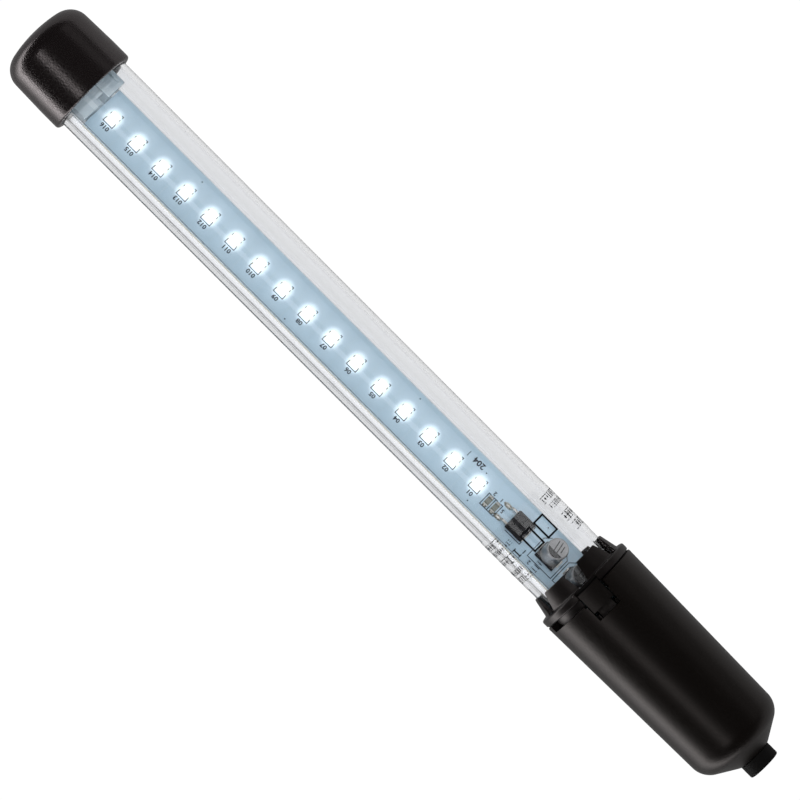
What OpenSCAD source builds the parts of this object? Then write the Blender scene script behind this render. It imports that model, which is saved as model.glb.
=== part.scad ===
// LED light tube: clear tube with a lit board, black collar, handle and end cap.
// The lamp lies along X with the cap at -X and the cord gland at +X. The latch tongue faces +Z.
// The origin is at the bottom centre of its box.

/* [Lengths along the lamp] */
// Length of the end cap
cap_length = 23.3; // [22:0.1:26]
// Clear tube that shows between the cap and the collar
tube_shown = 184.8; // [184.3:0.1:260]
// Length of the collar's fingers
finger_length = 5.7; // [5.4:0.1:8]
// Thickness of the collar's flange
flange_thick = 2.2; // [2:0.1:2.6]
// Gap between the flange and the handle's mouth
mouth_gap = 0.3; // [0.2:0.1:0.5]
// Length of the handle shell
handle_length = 64.6; // [64:0.1:90]
// Length of the gland that stands out of the handle
stub_length = 4.1; // [3:0.1:10]

/* [Tube] */
// Outer diameter of the clear tube
tube_d = 24; // [24:0.1:24.4]
// Wall of the clear tube
tube_wall = 1.3; // [1.1:0.1:1.5]
// Length of tube hidden in the cap
tube_in_cap = 16.3; // [12:0.1:17]
// Thickness of the guide rails in the tube
rail_thick = 0.8; // [0.6:0.1:1]

/* [End cap] */
// Outer diameter at the cap's mouth
cap_d = 27.84; // [27.6:0.02:30]
// Outer diameter where the crown's rounding begins
cap_shoulder_d = 27.3; // [27:0.1:29]
// Radius of the rounding round the crown
cap_corner_r = 6; // [4:0.5:7]
// Radius of the crown's dome
cap_dome_r = 40; // [35:1:60]

/* [Collar] */
// Diameter over the fingers' tips
finger_tip_d = 25.2; // [25:0.1:26]
// Diameter over the fingers' roots
finger_root_d = 27.5; // [26.5:0.1:28]
// Diameter of the flange
flange_d = 31; // [30:0.1:31]
// Diameter of the spigot inside the handle
spigot_d = 26.9; // [26.8:0.05:26.9]
// Length of the spigot
spigot_length = 21.5; // [20:0.5:22]
// Number of notches round the collar
notch_count = 6; // [4:1:8]
// Width of a notch at the fingers' tips
notch_tip_w = 5.1; // [3:0.1:5.5]
// Width of a notch at the flange
notch_root_w = 3.3; // [2:0.1:4]

/* [Latch tongue] */
// Width of the tongue
tongue_w = 7.2; // [6:0.1:7.4]
// Length of the tongue's pressing pad
tongue_pad_l = 6.5; // [5:0.1:7]
// Distance from the pad's free end to its pivot
tongue_reach = 12; // [11.5:0.1:12.5]

/* [Handle] */
// Diameter of the handle at its mouth
handle_d = 31.2; // [31.2:0.1:32]
// Diameter of the handle where its end rounding begins
handle_end_d = 29.26; // [28.5:0.02:30]
// Radius of the end rounding
shoulder_r = 6.7; // [5:0.1:8]
// Angle that the end rounding turns through
shoulder_turn = 58.6; // [56:0.2:60]
// Wall of the handle
handle_wall = 1.8; // [1.5:0.1:2]
// Length of the latch window
window_l = 7.7; // [7:0.1:9]

/* [Cord gland] */
// Outer diameter of the gland
stub_d = 10; // [9:0.1:10]
// Diameter of the hole for the cord
cord_hole_d = 7; // [5:0.1:7]

/* [Board] */
// Width of the LED board
board_w = 15.4; // [14:0.1:15.6]
// Thickness of the LED board
board_t = 1.6; // [1:0.1:1.6]
// Turn of the board about the lamp's axis
board_tilt = 22; // [0:1:30]
// Distance of the board's face below the axis
board_drop = 3.3; // [3:0.1:3.6]
// Number of LEDs
led_count = 16; // [8:1:16]
// Distance from one LED to the next
led_pitch = 9.5; // [8:0.1:9.5]

/* [Hidden] */

$fn = 72;
axis_z = handle_d / 2;
run = 0.05;

// stations along X
lamp_length = cap_length + tube_shown + finger_length + flange_thick + mouth_gap + handle_length + stub_length;
cap_x = -lamp_length / 2;
cap_mouth_x = cap_x + cap_length;
finger_x = cap_mouth_x + tube_shown;
flange_x = finger_x + finger_length;
spigot_x = flange_x + flange_thick;
spigot_end_x = spigot_x + spigot_length;
mouth_x = spigot_x + mouth_gap;
neck_x = mouth_x + handle_length;
stub_x = neck_x + stub_length;
tube_x = cap_mouth_x - tube_in_cap;
tube_end_x = flange_x + 0.2;

// radii about the lamp's axis
tube_r = tube_d / 2;
tube_in_r = tube_r - tube_wall;
socket_r = tube_r + run;
web_r = tube_in_r + 0.05;
spigot_r = spigot_d / 2;
bore_r = spigot_r + run;
groove_r = spigot_r - 1.2;

// collar and gasket
gasket_t = 0.8;
web_end_x = tube_end_x + gasket_t + 1.6;
seal_w = 2;
seal_x = spigot_end_x - 5;
nub_turn = -30;

// latch tongue
pad_x = flange_x + 1.1;
pad_top_r = flange_d / 2;
pivot_x = pad_x + tongue_reach;
pivot_r = 12.5;
pivot_pin_r = 0.6;
arm_w = 5;
arm_r = 13.3;

// handle
handle_end_r = handle_end_d / 2;
shoulder_c = handle_end_r - shoulder_r;
shoulder_x = neck_x - 9.5;
end_wall = 2.2;
gland_hole_r = 4.05;
bore_end_x = spigot_end_x + 1;
pry_from = 17;
pry_sweep = 54;
pry_depth = 1.9;

// board, in its own turned frame: X along the lamp, Y across the board, Z off its face
board_x = cap_mouth_x + 4;
board_end_x = spigot_end_x + 9;
face = -board_drop;
back = -board_drop - board_t;
rail_grip = 0.45;
led_x = board_x + 4.6;
led_size = [2.8, 3.5, 0.75];
glow_size = [2.1, 2.8, 0.45];

// parts on the board, measured back from the collar
resistor_x = [finger_x - 28.4, finger_x - 25.8];
resistor_y = -1.45;
chip = [1.6, 2.2, 0.6];
chip_end = 0.5;
driver_x = finger_x - 17.3;
driver_y = -0.4;
driver_size = [6.2, 6.6, 2.3];
cap_positions = [finger_x - 5.7, finger_x + 4];
cap_y = 0.2;
can_r = 3.15;
can_h = 6.7;
can_base = 6.6;
bridge_x = spigot_x + 6;
bridge_size = [4, 4.7, 2.5];
fuse_x = spigot_x + 13.5;
fuse_size = [2.6, 6.1, 2.6];
block_x = spigot_x + 20.5;
block_size = [8, 10.2, 10];
way_pitch = 5;
clamp_box = [5, 3.8, 4.4];
clamp_foot = face + 1.6;

// wiring carrier and cord clamp
clamp_x = board_end_x + 11;
clamp_half = 3;
clamp_lift = 1.2;
clamp_screw_y = 6.6;
clamp_screw_r = 1.45;
clamp_head_r = 1.9;
clamp_bar_t = 2.8;
arch_half = 4.6;
arch_top = 5.2;
screw_depth = 3.9;
carrier_x = spigot_end_x - 8;
carrier_r = socket_r - 0.25;
carrier_end_x = clamp_x + 7;
ledge_in = 5.5;
ledge_out = 9.4;

// Points along an arc, as [distance along X, radius]
function arc(x, r, radius, from, to, steps) =
    [for (i = [0 : steps]) let (a = from + (to - from) * i / steps) [x + radius * cos(a), r + radius * sin(a)]];

// Turns a closed outline of [x, radius] points about the lamp's axis
module revolve(outline) {
    translate([0, 0, axis_z]) rotate([0, 90, 0])
        rotate_extrude($fn = 96) polygon([for (p = outline) [p[1], p[0]]]);
}

// As revolve, but only over an arc that starts `from` degrees past +Z, turning towards -Y
module revolve_part(outline, from, sweep) {
    translate([0, 0, axis_z]) rotate([0, 90, 0]) rotate([0, 0, 180 + from])
        rotate_extrude(angle = sweep, $fn = 96) polygon([for (p = outline) [p[1], p[0]]]);
}

// Rectangle of [x, radius] points
function band(x0, x1, r0, r1) = [[x0, r0], [x1, r0], [x1, r1], [x0, r1]];

// A round bar along the lamp's axis
module bar(x0, x1, r) {
    translate([x0, 0, axis_z]) rotate([0, 90, 0]) cylinder(r = r, h = x1 - x0, $fn = 96);
}

// Puts its children in the board's frame
module on_board() {
    translate([0, 0, axis_z]) rotate([-board_tilt, 0, 0]) children();
}

// A block by its corner values in X, Y and Z
module block(x, y, z) {
    translate([x[0], y[0], z[0]]) cube([x[1] - x[0], y[1] - y[0], z[1] - z[0]]);
}

// A block by its centre in X and Y and its foot in Z
module chip_block(x, y, z, size) {
    translate([x - size[0] / 2, y - size[1] / 2, z]) cube(size);
}

// Where the board and the rails of the tube pass, with a little room
module rail_space(x0, x1) {
    rail_y = board_w / 2 - rail_grip - 0.1;
    for (side = [-1, 1]) {
        y = side > 0 ? [rail_y, tube_r] : [-tube_r, -rail_y];
        block([x0, x1], y, [back - rail_thick - 0.2, face + rail_thick + 0.2]);
    }
}

// ---- handle ----

module handle_shell() {
    outer = concat([[mouth_x, axis_z - 0.5], [mouth_x + 0.15, axis_z - 0.15], [mouth_x + 0.5, axis_z]],
                   arc(shoulder_x, shoulder_c, shoulder_r, 90, 90 - shoulder_turn, 12));
    out_end = outer[len(outer) - 1];
    inner = arc(shoulder_x, shoulder_c, shoulder_r - handle_wall, 90 - shoulder_turn, 90, 8);
    in_start = inner[0];
    fall = tan(shoulder_turn);
    wall_x = neck_x - end_wall;
    outline = concat(outer, [[neck_x, out_end[1] - fall * (neck_x - out_end[0])],
                             [neck_x, gland_hole_r],
                             [wall_x, gland_hole_r],
                             [wall_x, in_start[1] - fall * (wall_x - in_start[0])]],
                     inner, [[bore_end_x + 0.5, bore_r - 0.4], [bore_end_x, bore_r], [mouth_x, bore_r]]);
    color("#1e1b19") difference() {
        revolve(outline);
        block([mouth_x - 1, mouth_x + window_l], [-tongue_w / 2 - 0.3, tongue_w / 2 + 0.3],
              [axis_z + 10, axis_z + 20]);
        block([mouth_x - 1, mouth_x + 2.6], [-tongue_w / 2 - 0.9, tongue_w / 2 + 0.9], [axis_z + 10, axis_z + 20]);
        revolve_part(band(mouth_x - 1, mouth_x + pry_depth, bore_r - 0.5, axis_z + 1), pry_from, pry_sweep);
    }
}

module cable_gland() {
    stub_r = stub_d / 2;
    cord_r = cord_hole_d / 2;
    neck_r = gland_hole_r - 0.05;
    inside_x = neck_x - end_wall - run;
    outline = concat([[inside_x - 1.8, cord_r], [inside_x - 1.8, stub_r - 0.3], [inside_x, stub_r - 0.1],
                      [inside_x, neck_r], [neck_x + run, neck_r], [neck_x + run, stub_r]],
                     arc(stub_x - 0.8, stub_r - 0.8, 0.8, 90, 0, 5),
                     [[stub_x, cord_r]]);
    color("#100f0f") revolve(outline);
}

// ---- collar and seals ----

module collar() {
    tip_r = finger_tip_d / 2;
    root_r = finger_root_d / 2;
    flange_r = flange_d / 2;
    outline = concat([[finger_x, socket_r], [finger_x, tip_r - 0.3], [finger_x + 0.3, tip_r],
                      [flange_x - 0.4, root_r], [flange_x, root_r + 0.5]],
                     arc(flange_x + 0.6, flange_r - 0.6, 0.6, 180, 90, 4),
                     arc(spigot_x - 0.6, flange_r - 0.6, 0.6, 90, 0, 4),
                     [[spigot_x, spigot_r], [seal_x, spigot_r], [seal_x, groove_r], [seal_x + seal_w, groove_r],
                      [seal_x + seal_w, spigot_r], [spigot_end_x - 0.5, spigot_r], [spigot_end_x, spigot_r - 0.4],
                      [spigot_end_x, socket_r], [web_end_x, socket_r], [web_end_x, web_r],
                      [tube_end_x + gasket_t, web_r], [tube_end_x + gasket_t, socket_r]]);
    slot_w = tongue_w + 0.8;
    slot_x = pad_x - 0.4;
    color("#2a2627") {
        difference() {
            revolve(outline);
            for (i = [0 : notch_count - 1]) notch(i * 360 / notch_count);
            block([slot_x, pad_x + tongue_pad_l + 1.3], [-slot_w / 2, slot_w / 2], [axis_z + 10.9, axis_z + 20]);
            block([slot_x, pivot_x], [-arm_w / 2 - 0.4, arm_w / 2 + 0.4], [axis_z + 10.9, axis_z + 20]);
            block([flange_x - 0.05, slot_x + 0.1], [-slot_w / 2, slot_w / 2], [axis_z + 13.2, axis_z + 20]);
            translate([pivot_x, 0, axis_z + pivot_r]) rotate([90, 0, 0])
                cylinder(r = pivot_pin_r + 0.08, h = arm_w + 0.8, center = true);
        }
        translate([0, 0, axis_z]) rotate([nub_turn, 0, 0])
            block([finger_x - 0.7, finger_x + 1], [-0.7, 0.7], [socket_r + 0.15, tip_r - 0.1]);
    }
}

// A notch between two fingers, narrower towards the flange
module notch(turn) {
    tip = notch_tip_w / 2;
    root = notch_root_w / 2;
    translate([0, 0, axis_z]) rotate([turn, 0, 0]) translate([0, 0, socket_r - 1])
        linear_extrude(5) polygon([[finger_x - 1, -tip], [finger_x + 0.4, -tip], [flange_x - 0.5, -root],
                                   [flange_x - 0.1, -root + 0.5], [flange_x - 0.1, root - 0.5],
                                   [flange_x - 0.5, root], [finger_x + 0.4, tip], [finger_x - 1, tip]]);
}

// A ring of round section about the lamp's axis
module ring_seal(x, r, section) {
    translate([x, 0, axis_z]) rotate([0, 90, 0])
        rotate_extrude($fn = 72) translate([r, 0]) circle(r = section, $fn = 24);
}

module collar_seal() {
    section = (bore_r - groove_r) / 2 - 0.04;
    color("#141414") ring_seal(seal_x + seal_w / 2, (bore_r + groove_r) / 2, section);
}

module tube_gasket() {
    color("#3a3a3a") revolve(band(tube_end_x, tube_end_x + gasket_t, web_r, tube_r - 0.05));
}

// ---- tube, label and board holder ----

// Section of the tube across its axis, in the board's frame: a ring with one rail below the board on each
// side and one above it on the -Y side
module tube_section() {
    rail_y = board_w / 2 - rail_grip;
    difference() {
        circle(r = tube_r, $fn = 96);
        difference() {
            circle(r = tube_in_r, $fn = 96);
            for (side = [-1, 1], z = side < 0 ? [face + 0.1, back - 0.1 - rail_thick] : [back - 0.1 - rail_thick])
                translate([side > 0 ? rail_y : -tube_r, z]) square([tube_r - rail_y, rail_thick]);
        }
    }
}

module light_tube() {
    color([0.92, 0.94, 0.96, 0.35]) on_board() rotate([90, 0, 90])
        translate([0, 0, tube_x]) linear_extrude(tube_end_x - tube_x) tube_section();
}

module rating_label() {
    color([0.95, 0.96, 0.97, 0.4])
        revolve_part(band(finger_x - 21.7, finger_x - 3.5, tube_r, tube_r + 0.12), -165, 330);
}

module board_holder() {
    plug_end = cap_mouth_x - 1.8;
    jaw_end = board_x - 0.2;
    color([0.85, 0.88, 0.9, 0.5]) on_board() difference() {
        union() {
            rotate([0, 90, 0]) translate([0, 0, tube_x + 1]) cylinder(r = tube_in_r - 0.1, h = plug_end - tube_x - 1);
            block([plug_end - 1, jaw_end], [1.9, 8.6], [back - 1.2, 1]);
            block([plug_end - 1, jaw_end], [-7.4, -1.2], [back - 1.2, 1]);
            block([plug_end - 1, jaw_end - 2], [-1.3, 2], [back - 1.2, 0.2]);
            block([plug_end - 1, jaw_end + 7], [-5, 5], [back - 1.25, back - 0.05]);
        }
        rail_space(tube_x - 1, board_x + 8);
        rotate([0, 90, 0]) translate([0, 0, tube_x]) cylinder(r = 4, h = 9);
    }
}

// ---- board and what is soldered to it ----

module led_board() {
    color("#aac5da") on_board() block([board_x, board_end_x], [-board_w / 2, board_w / 2], [back, face]);
}

module led_packages() {
    color("#eceae2") on_board() for (i = [0 : led_count - 1]) difference() {
        chip_block(led_x + i * led_pitch, 0, face, led_size);
        chip_block(led_x + i * led_pitch, 0, face + led_size[2] - glow_size[2], glow_size + [0, 0, 1]);
    }
}

module led_emitters() {
    color("#fffdf2") on_board() for (i = [0 : led_count - 1])
        chip_block(led_x + i * led_pitch, 0, face + led_size[2] - glow_size[2], glow_size);
}

module chip_resistors() {
    color("#161616") on_board() for (x = resistor_x) chip_block(x, resistor_y, face, chip);
}

module resistor_ends() {
    reach = (chip[1] + chip_end) / 2;
    color("#c8c8c8") on_board() for (x = resistor_x, side = [-1, 1])
        chip_block(x, resistor_y + side * reach, face, [chip[0], chip_end, chip[2]]);
}

module driver_body() {
    color("#1b1a1c") on_board() difference() {
        chip_block(driver_x, driver_y, face, driver_size);
        chip_block(driver_x + 1.2, driver_y, face - 1, [driver_size[0], 5.3, 1.5]);
        for (side = [-1, 1])
            chip_block(driver_x - driver_size[0] / 2, driver_y + side * 2.3, face + 0.9, [0.6, 0.76, 0.5]);
    }
}

module driver_leads() {
    edge = driver_x - driver_size[0] / 2;
    color("#b9b6b0") on_board() {
        block([driver_x - 1.9, driver_x + 4.3], [driver_y - 2.65, driver_y + 2.65], [face, face + 0.5]);
        for (side = [-1, 1]) {
            y = [driver_y + side * 2.3 - 0.38, driver_y + side * 2.3 + 0.38];
            block([edge - 1.6, edge + 0.3], y, [face + 0.9, face + 1.4]);
            block([edge - 2.1, edge - 1.6], y, [face, face + 1.4]);
            block([edge - 3.8, edge - 2.1], y, [face, face + 0.5]);
        }
    }
}

module capacitor_cans() {
    color("#c9ced3") on_board() for (x = cap_positions) translate([x, cap_y, face + 1]) difference() {
        cylinder(r = can_r, h = can_h);
        translate([0, 0, 0.9]) rotate_extrude() translate([can_r + 0.15, 0]) circle(r = 0.45, $fn = 16);
    }
}

module capacitor_bases() {
    half = can_base / 2;
    cut = 1.3;
    color("#1c1c1e") on_board() for (x = cap_positions) translate([x, cap_y, face + 0.3])
        linear_extrude(0.7) polygon([[-half, -half], [half, -half], [half, half - cut], [half - cut, half],
                                     [cut - half, half], [-half, half - cut]]);
}

module capacitor_feet() {
    reach = can_base / 2 - 0.4;
    color("#b9b6b0") on_board() for (x = cap_positions, side = [-1, 1])
        chip_block(x + side * reach, cap_y, face, [1.8, 2.5, 0.3]);
}

module bridge_body() {
    color("#1b1a1c") on_board() chip_block(bridge_x, 0, face + 0.2, bridge_size);
}

module bridge_leads() {
    color("#b9b6b0") on_board() for (side = [-1, 1], y = [-1.27, 1.27]) {
        edge = bridge_x + side * (bridge_size[0] / 2 + 0.35);
        chip_block(edge, y, face + 0.2, [0.7, 0.7, 1.2]);
        chip_block(edge + side * 0.5, y, face, [1.7, 0.7, 0.2]);
    }
}

module fuse_body() {
    color("#e8e2d4") on_board() chip_block(fuse_x, 0, face, fuse_size);
}

module fuse_ends() {
    reach = (fuse_size[1] + 1) / 2;
    color("#c8c8c8") on_board() for (side = [-1, 1])
        chip_block(fuse_x, side * reach, face, [fuse_size[0], 1, fuse_size[2]]);
}

module terminal_block() {
    top = face + block_size[2];
    color("#2f6f4e") on_board() difference() {
        chip_block(block_x, 0, face, block_size);
        for (side = [-1, 1]) {
            y = side * way_pitch / 2;
            chip_block(block_x, y, clamp_foot - 0.02, clamp_box + [0.04, 0.04, 0.04]);
            translate([block_x, y, clamp_foot + 2]) cylinder(r = 1.85, h = top);
            translate([block_x, y, clamp_foot + 1.8]) rotate([0, 90, 0]) cylinder(r = 1.4, h = block_size[0]);
        }
    }
}

module terminal_clamps() {
    color("#c2b280") on_board() for (side = [-1, 1]) difference() {
        chip_block(block_x, side * way_pitch / 2, clamp_foot, clamp_box);
        translate([block_x - 3, side * way_pitch / 2, clamp_foot + 1.8]) rotate([0, 90, 0])
            cylinder(r = 1.3, h = 8);
        translate([block_x, side * way_pitch / 2, clamp_foot + 1.8]) cylinder(r = 1.25, h = 4);
    }
}

module terminal_screws() {
    head_z = clamp_foot + clamp_box[2] + 0.4;
    color("#c8c8c8") on_board() for (side = [-1, 1]) translate([block_x, side * way_pitch / 2, 0]) difference() {
        union() {
            translate([0, 0, clamp_foot + 3.2]) cylinder(r = 1.2, h = head_z - clamp_foot - 3.2);
            translate([0, 0, head_z]) cylinder(r = 1.75, h = 1.3);
        }
        chip_block(0, 0, head_z + 0.8, [4, 0.5, 2]);
    }
}

// ---- wiring carrier and cord clamp ----

module wiring_carrier() {
    cord_r = cord_hole_d / 2;
    trough_x = spigot_end_x + 0.5;
    color("#26262a") on_board() {
        difference() {
            rotate([0, 90, 0]) translate([0, 0, carrier_x]) cylinder(r = carrier_r, h = carrier_end_x - carrier_x);
            // hollow of the ring, and of the trough's open end
            rotate([0, 90, 0]) translate([0, 0, carrier_x - 1])
                cylinder(r = web_r, h = board_end_x - carrier_x + 2);
            rotate([0, 90, 0]) translate([0, 0, clamp_x + clamp_half + 1])
                cylinder(r = web_r, h = carrier_end_x - clamp_x);
            // open top behind the ring
            block([trough_x, carrier_end_x + 1], [-tube_d, tube_d], [back, tube_d]);
            for (side = [-1, 1]) translate([clamp_x, side * clamp_screw_y, back - screw_depth - 0.2])
                cylinder(r = clamp_screw_r, h = screw_depth + 1);
        }
        // ledges that the tail of the board lies on
        for (side = [-1, 1])
            block([carrier_x, board_end_x + 0.5], side > 0 ? [ledge_in, ledge_out] : [-ledge_out, -ledge_in],
                  [back - 1.6, back]);
        // saddle under the cord
        difference() {
            block([clamp_x - clamp_half, clamp_x + clamp_half], [0.3 - cord_r, cord_r - 0.3],
                  [back - 1, back + 1.8]);
            rotate([0, 90, 0]) translate([0, 0, clamp_x - clamp_half - 1])
                cylinder(r = cord_r, h = 2 * clamp_half + 2);
        }
    }
}

module cord_clamp() {
    reach = clamp_screw_y + clamp_head_r;
    cord_r = cord_hole_d / 2;
    foot = back + clamp_lift;
    x = [clamp_x - clamp_half, clamp_x + clamp_half];
    color("#26262a") on_board() difference() {
        union() {
            block(x, [-reach, reach], [foot, foot + clamp_bar_t]);
            block(x, [-arch_half, arch_half], [foot, arch_top]);
        }
        rotate([0, 90, 0]) translate([0, 0, x[0] - 1]) cylinder(r = cord_r, h = x[1] - x[0] + 2);
        block([x[0] - 1, x[1] + 1], [-cord_r, cord_r], [back, 0]);
        for (side = [-1, 1]) translate([clamp_x, side * clamp_screw_y, back]) cylinder(r = 1.6, h = 8);
    }
}

module clamp_screws() {
    seat = clamp_lift + clamp_bar_t;
    head_t = 1.8;
    slot_z = seat + 0.9;
    color("#c8c8c8") on_board() for (side = [-1, 1])
        translate([clamp_x, side * clamp_screw_y, back]) difference() {
            union() {
                translate([0, 0, -screw_depth]) cylinder(r = clamp_screw_r, h = screw_depth + seat + 0.5);
                translate([0, 0, seat]) cylinder(r = clamp_head_r, h = head_t);
            }
            chip_block(0, 0, slot_z, [0.6, 2.6, 2]);
            chip_block(0, 0, slot_z, [2.6, 0.6, 2]);
        }
}

// ---- latch ----

module latch_tongue() {
    pad_end = pad_x + tongue_pad_l;
    pad_side = [[pad_x, 13.9], [pad_x, pad_top_r - 0.3], [pad_x + 0.3, pad_top_r + 0.5],
                [pad_end, pad_top_r + 0.5], [pad_end, 11.95], [pad_end - 2.6, 12.6]];
    color("#1c1a19") {
        intersection() {
            bar(pad_x - 1, pad_end + 1, pad_top_r);
            translate([0, tongue_w / 2, axis_z]) rotate([90, 0, 0]) linear_extrude(tongue_w) polygon(pad_side);
        }
        intersection() {
            bar(pad_x, pivot_x + 1, arm_r);
            block([pad_end - 0.5, pivot_x], [-arm_w / 2, arm_w / 2], [axis_z + 11.95, axis_z + arm_r - 0.2]);
        }
        translate([pivot_x, 0, axis_z + pivot_r]) rotate([90, 0, 0])
            cylinder(r = pivot_pin_r, h = arm_w, center = true);
    }
}

// ---- end cap ----

module end_cap() {
    cap_r = cap_d / 2;
    lip_r = 1.3;
    corner_c = cap_shoulder_d / 2 - cap_corner_r;
    reach = cap_dome_r - cap_corner_r;
    meet = asin(corner_c / reach);
    corner_x = cap_x + cap_dome_r - reach * cos(meet);
    floor_x = tube_x - 0.5;
    outline = concat(arc(cap_x + cap_dome_r, 0, cap_dome_r, 180, 180 - meet, 6),
                     arc(corner_x, corner_c, cap_corner_r, 180 - meet, 90, 12),
                     [[cap_x + 17, cap_r]],
                     arc(cap_mouth_x - lip_r, cap_r - lip_r, lip_r, 90, 0, 5),
                     [[cap_mouth_x, socket_r], [cap_mouth_x - 4, socket_r], [cap_mouth_x - 4, socket_r + 0.9],
                      [cap_mouth_x - 5.6, socket_r + 0.9], [cap_mouth_x - 5.6, socket_r], [floor_x, socket_r],
                      [floor_x, 8.5], [cap_x + 2.6, 7.5], [cap_x + 2.6, 0]]);
    color("#2d282a") revolve(outline);
}

module cap_seal() {
    color("#141414") ring_seal(cap_mouth_x - 4.8, socket_r + 0.45, 0.42);
}

handle_shell();
cable_gland();
collar();
collar_seal();
tube_gasket();
light_tube();
rating_label();
board_holder();
led_board();
led_packages();
led_emitters();
chip_resistors();
resistor_ends();
driver_body();
driver_leads();
capacitor_cans();
capacitor_bases();
capacitor_feet();
bridge_body();
bridge_leads();
fuse_body();
fuse_ends();
terminal_block();
terminal_clamps();
terminal_screws();
wiring_carrier();
cord_clamp();
clamp_screws();
latch_tongue();
end_cap();
cap_seal();
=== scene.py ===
import math
import bmesh
import bpy
from mathutils import Matrix, Vector
from mathutils.geometry import tessellate_polygon


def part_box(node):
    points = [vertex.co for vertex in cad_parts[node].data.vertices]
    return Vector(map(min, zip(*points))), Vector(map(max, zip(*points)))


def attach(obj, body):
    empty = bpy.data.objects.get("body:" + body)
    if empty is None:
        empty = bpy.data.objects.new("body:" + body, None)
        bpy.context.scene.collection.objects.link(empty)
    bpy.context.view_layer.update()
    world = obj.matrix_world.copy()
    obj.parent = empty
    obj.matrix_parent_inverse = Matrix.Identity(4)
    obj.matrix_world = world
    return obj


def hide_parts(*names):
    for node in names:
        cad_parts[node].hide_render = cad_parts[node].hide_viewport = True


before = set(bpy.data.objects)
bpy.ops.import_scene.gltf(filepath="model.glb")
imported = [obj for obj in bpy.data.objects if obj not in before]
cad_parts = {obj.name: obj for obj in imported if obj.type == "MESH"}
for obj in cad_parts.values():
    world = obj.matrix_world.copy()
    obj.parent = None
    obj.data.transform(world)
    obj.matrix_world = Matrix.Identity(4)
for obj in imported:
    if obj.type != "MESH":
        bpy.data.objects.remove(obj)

# A hand lamp on its side: end cap at -X, then clear tube, lit board, collar, handle and gland at +X.
# Sizes below are in millimetres; mm turns them into the scene's metres.

mm = 0.001
scene = bpy.context.scene
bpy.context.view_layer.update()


def corners(node):  # lowest and highest corner of a frame node, in millimetres
    low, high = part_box(node)
    return low / mm, high / mm


capLow, capHigh = corners("end_cap")
tubeLow, tubeHigh = corners("light_tube")
labelLow, labelHigh = corners("rating_label")
collarLow, collarHigh = corners("collar")
tongueLow, tongueHigh = corners("latch_tongue")
handleLow, handleHigh = corners("handle_shell")
glandLow, glandHigh = corners("cable_gland")
boardLow, boardHigh = corners("led_board")
holderLow = corners("board_holder")[0]
ledLow, ledHigh = corners("led_packages")
axisHeight = (glandLow.z + glandHigh.z) / 2
tubeRadius = (tubeHigh.y - tubeLow.y) / 2

# ---------- camera and studio ----------

studio = {
    "height": 1300,  # camera above the axis
    "centre": 0.28,
    "shown": 220.4,  # width of the picture at the axis
    "turn": 45.05,  # how far the lamp runs down across the picture, in degrees
    "floorSeen": 1.03,
    "floorMirrored": 0.28,
    "floorInner": 0.92,
    "wallInner": 0.12,
    "floorBand": (-0.04, -0.12),  # where the floor's bright band starts and is full, across the lamp
    "bandMirrored": 2.6,
    "wallMirrored": 0.1,
}


def addCamera():
    data = bpy.data.cameras.new("camera")
    data.sensor_width = 36
    data.lens = data.sensor_width * studio["height"] / studio["shown"]
    data.clip_end = 20
    camera = bpy.data.objects.new("camera", data)
    camera.location = (studio["centre"] * mm, 0, (axisHeight + studio["height"]) * mm)
    camera.rotation_euler = (0, 0, math.radians(studio["turn"]))
    scene.collection.objects.link(camera)
    scene.camera = camera


def addSoftbox(name, place, aim, size, power, mirrored=True):  # place, aim and size in metres
    data = bpy.data.lights.new(name, "AREA")
    data.shape = "RECTANGLE"
    data.size, data.size_y = size
    data.energy = power
    light = bpy.data.objects.new(name, data)
    light.location = place
    towards = Vector(aim) - Vector(place)
    light.rotation_euler = towards.to_track_quat("-Z", "Y").to_euler()
    light.visible_glossy = mirrored
    light.visible_camera = False
    scene.collection.objects.link(light)


def whiteSurround(tree, seen, mirrored, innerShare):  # plain to the eye, dimmer in reflections
    path = tree.nodes.new("ShaderNodeLightPath")
    level = tree.nodes.new("ShaderNodeMapRange")
    level.inputs["To Min"].default_value = seen
    level.inputs["To Max"].default_value = mirrored
    tree.links.new(path.outputs["Is Reflection Ray"], level.inputs["Value"])
    inner = tree.nodes.new("ShaderNodeMapRange")  # reflections inside a clear wall count less
    inner.inputs["To Min"].default_value, inner.inputs["To Max"].default_value = 1.0, innerShare
    tree.links.new(path.outputs["Glossy Depth"], inner.inputs["Value"])
    both = tree.nodes.new("ShaderNodeMath")
    both.operation = "MULTIPLY"
    tree.links.new(level.outputs["Result"], both.inputs[0])
    tree.links.new(inner.outputs["Result"], both.inputs[1])
    return both.outputs[0]


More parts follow.
